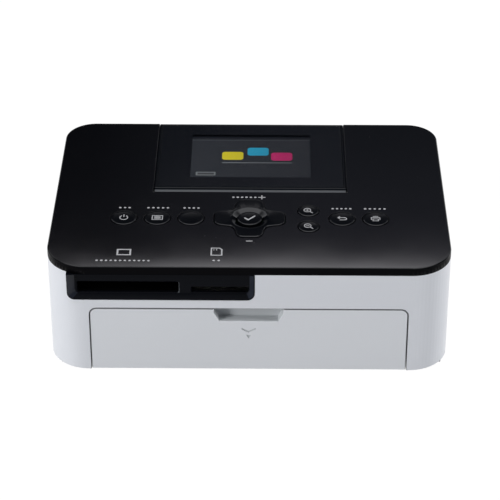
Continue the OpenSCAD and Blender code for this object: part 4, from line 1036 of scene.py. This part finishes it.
# %% Rows of dots
LABEL_Y = KEY_ROW + 8.7
dot_places = []
for centre, y, count, pitch in [
        (KEYS["power"][0], LABEL_Y, 3, 2.1), (KEYS["menu"][0], LABEL_Y, 5, 2.2), (KEYS["edit"][0], LABEL_Y, 4, 2.1),
        (-2.6, -5.0, 6, 2.0), (KEYS["back"][0], LABEL_Y, 5, 2.0), (KEYS["print"][0], LABEL_Y, 5, 2.2),
        (-55.0, -58.2, 12, 2.05), (-14.2, -57.8, 2, 2.2)]:
    dot_places += [on_top(centre + (i - (count - 1) / 2) * pitch, y) for i in range(count)]
stamped("label_dots", disc_tree, dot_places, (SLOPE, 0.0, 0.0), "mark_ink", "case", Radius=0.00058, Height=0.0001)

# %% [markdown]
# ## Small repeated parts inside and below
# Four identical screws hold the case together from below. Each is a pan head with a cross recess and a shank, and
# the recess is cut by two small bars through a Boolean node. The legs of the chips and the contacts in the card
# slots are plain bars in rows, which the same kind of tree stamps on points.

# %% Case screws
def draw_screw(graph, size):
    def moved(shape, **how):
        return graph.node("GeometryNodeTransform", {}, {"Geometry": shape, **how})

    def drum(radius, height, foot):
        return moved(cylinder(graph, 32, radius, height), Translation=graph.vector(z=foot + height * 0.5))

    head = drum(size["Head radius"], size["Head height"], 0.0)
    shank = drum(size["Shank radius"], size["Shank length"], size["Head height"])
    bar = graph.node("GeometryNodeMeshCube", {}, {"Size": (0.0028, 0.0006, 0.0011)})
    cut = graph.node("GeometryNodeMeshBoolean", {"operation": "DIFFERENCE", "solver": "EXACT"}, {0: head})
    for turn in (0.0, math.pi / 2):
        graph.plug(cut.socket.node.inputs["Mesh 2"], moved(bar, Rotation=(0.0, 0.0, turn)))
    both = graph.node("GeometryNodeJoinGeometry")
    for part in (cut, shank):
        graph.plug(both.socket.node.inputs[0], part)
    return both


screw_tree = stamp_tree("screw_on_points", draw_screw, {
    "Head radius": 0.0026, "Head height": 0.0009, "Shank radius": 0.0014, "Shank length": 0.032})
SCREW_FOOT = 2.3
UPRIGHT = (0, 0, 0)
screws = [Vector((x, y, SCREW_FOOT)) * MM for x, y in [(-81.5, -47.5), (79.3, -47.0), (-80.5, 53.0), (76.5, 56.5)]]
case_screws = stamped("base_screws", screw_tree, screws, UPRIGHT, "screw_steel", "case")
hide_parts("case_screws")
low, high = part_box("case_screws")
print("the CAD's screws reach from", round(low.z / MM, 2), "to", round(high.z / MM, 2), "mm")

# %% Chip legs and slot contacts
def draw_bar(graph, size):
    box = graph.vector(size["Across"], size["Along"], size["Thick"])
    return graph.node("GeometryNodeMeshCube", {}, {"Size": box})


bar_tree = stamp_tree("bar_on_points", draw_bar, {"Across": 0.0003, "Along": 0.001, "Thick": 0.0002})
LEG_PITCH, LEG_Z, LEG_OUT = 0.8, 39.8, 0.45
legs = {"front": [], "side": []}
for x, y, wide, deep in [(14, -52, 18, 18), (36, -52, 12, 14), (40, -34, 14, 8)]:
    for row, length in (("front", wide), ("side", deep)):
        for i in range(int(length / LEG_PITCH) - 1):
            along = 0.9 + i * LEG_PITCH
            places = [(x + along, edge) for edge in (y - LEG_OUT, y + deep + LEG_OUT)]
            if row == "side":
                places = [(edge, y + along) for edge in (x - LEG_OUT, x + wide + LEG_OUT)]
            legs[row] += [Vector((*place, LEG_Z)) * MM for place in places]
for row, turn in (("front", 0), ("side", math.pi / 2)):
    stamped("chip_legs_" + row, bar_tree, legs[row], (0, 0, turn), "pin_steel", "case", Along=0.0011, Thick=0.00025)
pins = [Vector((-74.0 + i * 1.27, -28.0, z)) * MM for i in range(34) for z in (43.6, 45.6)]
stamped("wide_slot_pins", bar_tree, pins, UPRIGHT, "contact_gold", "case", Across=0.00045, Along=0.0052,
        Thick=0.00045)
contacts = [Vector((-23.8 + i * 2.5, -36.0, 42.1)) * MM for i in range(9)]
stamped("narrow_slot_contacts", bar_tree, contacts, (0.06, 0, 0), "contact_gold", "case", Across=0.0011,
        Along=0.0064, Thick=0.00022)

# %% [markdown]
# ## Finishes for the pieces that stay as the CAD has them
# Every other node keeps its own mesh and gets the finish of its slot in the record. The nodes are smooth-looking
# already, because their meshes carry normals from the CAD's true curves.

# %% Finish the carried-over nodes
for part in frame["record"]["subparts"]:
    node = cad_nodes[part["node"]]
    node.data.materials.clear()
    node.data.materials.append(FINISHES[part["material_slot"]])

# %% [markdown]
# ## The studio
# The floor is plain and pale. For the camera, and in reflections, it is near white, and for the object's shadow it
# is an ordinary matt surface: a mix of the two keeps a soft contact shadow. Two soft lamps stand on either side in
# front, and gloss doesn't mirror them. What gloss reflects is the world: a dim room with a bright ceiling, and
# behind the printer a narrow bright band at one height, which makes the rear of the black top deep while its front
# edge brightens.

# %% Floor
work = bmesh.new()
bmesh.ops.create_circle(work, cap_ends=True, radius=6.0, segments=96)
floor = modelled("floor", work)
material = bpy.data.materials.new("floor_paint")
material.use_nodes = True
graph = Graph(material.node_tree)
paint = graph.node("ShaderNodeBsdfDiffuse", {}, {"Color": (0.5, 0.5, 0.505)})
white = graph.node("ShaderNodeEmission", {}, {"Color": (1, 1, 1), "Strength": 1.085})
rays = {name: graph.node("ShaderNodeLightPath", output=name) for name in
        ("Is Camera Ray", "Is Glossy Ray", "Is Transmission Ray")}
seen = rays["Is Camera Ray"].largest(rays["Is Glossy Ray"]).largest(rays["Is Transmission Ray"])
graph.node("ShaderNodeOutputMaterial", {}, {
    "Surface": graph.node("ShaderNodeMixShader", {}, {0: seen * 0.92, 1: paint, 2: white})})
floor.data.materials.append(material)
print("floor 12 m across")

# %% World
world = bpy.data.worlds.new("studio")
bpy.context.scene.world = world
world.use_nodes = True
graph = Graph(world.node_tree)
across, depth, height = (graph.axis(name, "Generated") for name in "XYZ")
behind = depth.above(0.45, 0.3)
heights = graph.node("ShaderNodeValToRGB", {"stops": [
    (0.26, (0.68, 0.70, 0.74)), (0.34, (0.04, 0.042, 0.05)), (0.520, (0.060, 0.066, 0.084)),
    (0.558, (0.110, 0.115, 0.145)), (0.567, (0.150, 0.150, 0.185)), (0.573, (0.24, 0.236, 0.275)),
    (0.576, (0.62, 0.61, 0.68)), (0.5775, (1.7, 1.66, 1.8)), (0.5795, (3.8, 3.75, 3.9)),
    (0.592, (1.2, 1.2, 1.25)), (0.62, (0.8, 0.82, 0.86))]}, {"Fac": height})
fade = graph.mix((across * 8.0 + 1.0).largest(0.3).smallest(1.15), (0, 0, 0), heights)
rear = graph.mix(height.above(0.578, 0.01), fade, heights)
room = graph.mix(behind, (0.055, 0.06, 0.07), rear)
room = graph.mix(height.above(0.84, 0.06), room, (1.3, 1.31, 1.36))
camera_ray = graph.node("ShaderNodeLightPath", output="Is Camera Ray")
shown = graph.mix(camera_ray, room, (1, 1, 1))
graph.node("ShaderNodeOutputWorld", {}, {
    "Surface": graph.node("ShaderNodeBackground", {}, {"Color": shown, "Strength": 1.0})})

# %% Lamps
BOX_W, BOX_H = 0.5, 1.1
AIM = Vector((0, 0, 0.03))


def softbox(name, place, watts):
    data = bpy.data.lights.new(name, "AREA")
    data.shape, data.size, data.size_y, data.energy = "RECTANGLE", BOX_W, BOX_H, watts
    lamp = placed(name, data)
    lamp.location = place
    lamp.rotation_euler = (AIM - Vector(place)).to_track_quat("-Z", "Y").to_euler()
    lamp.visible_glossy = False
    print(name, watts, "W")


softbox("front_left", (-1.65, -1.1, 0.6), 27.0)
softbox("front_right", (2.0, -0.3, 0.6), 21.5)
bpy.context.scene.view_settings.view_transform = "Standard"
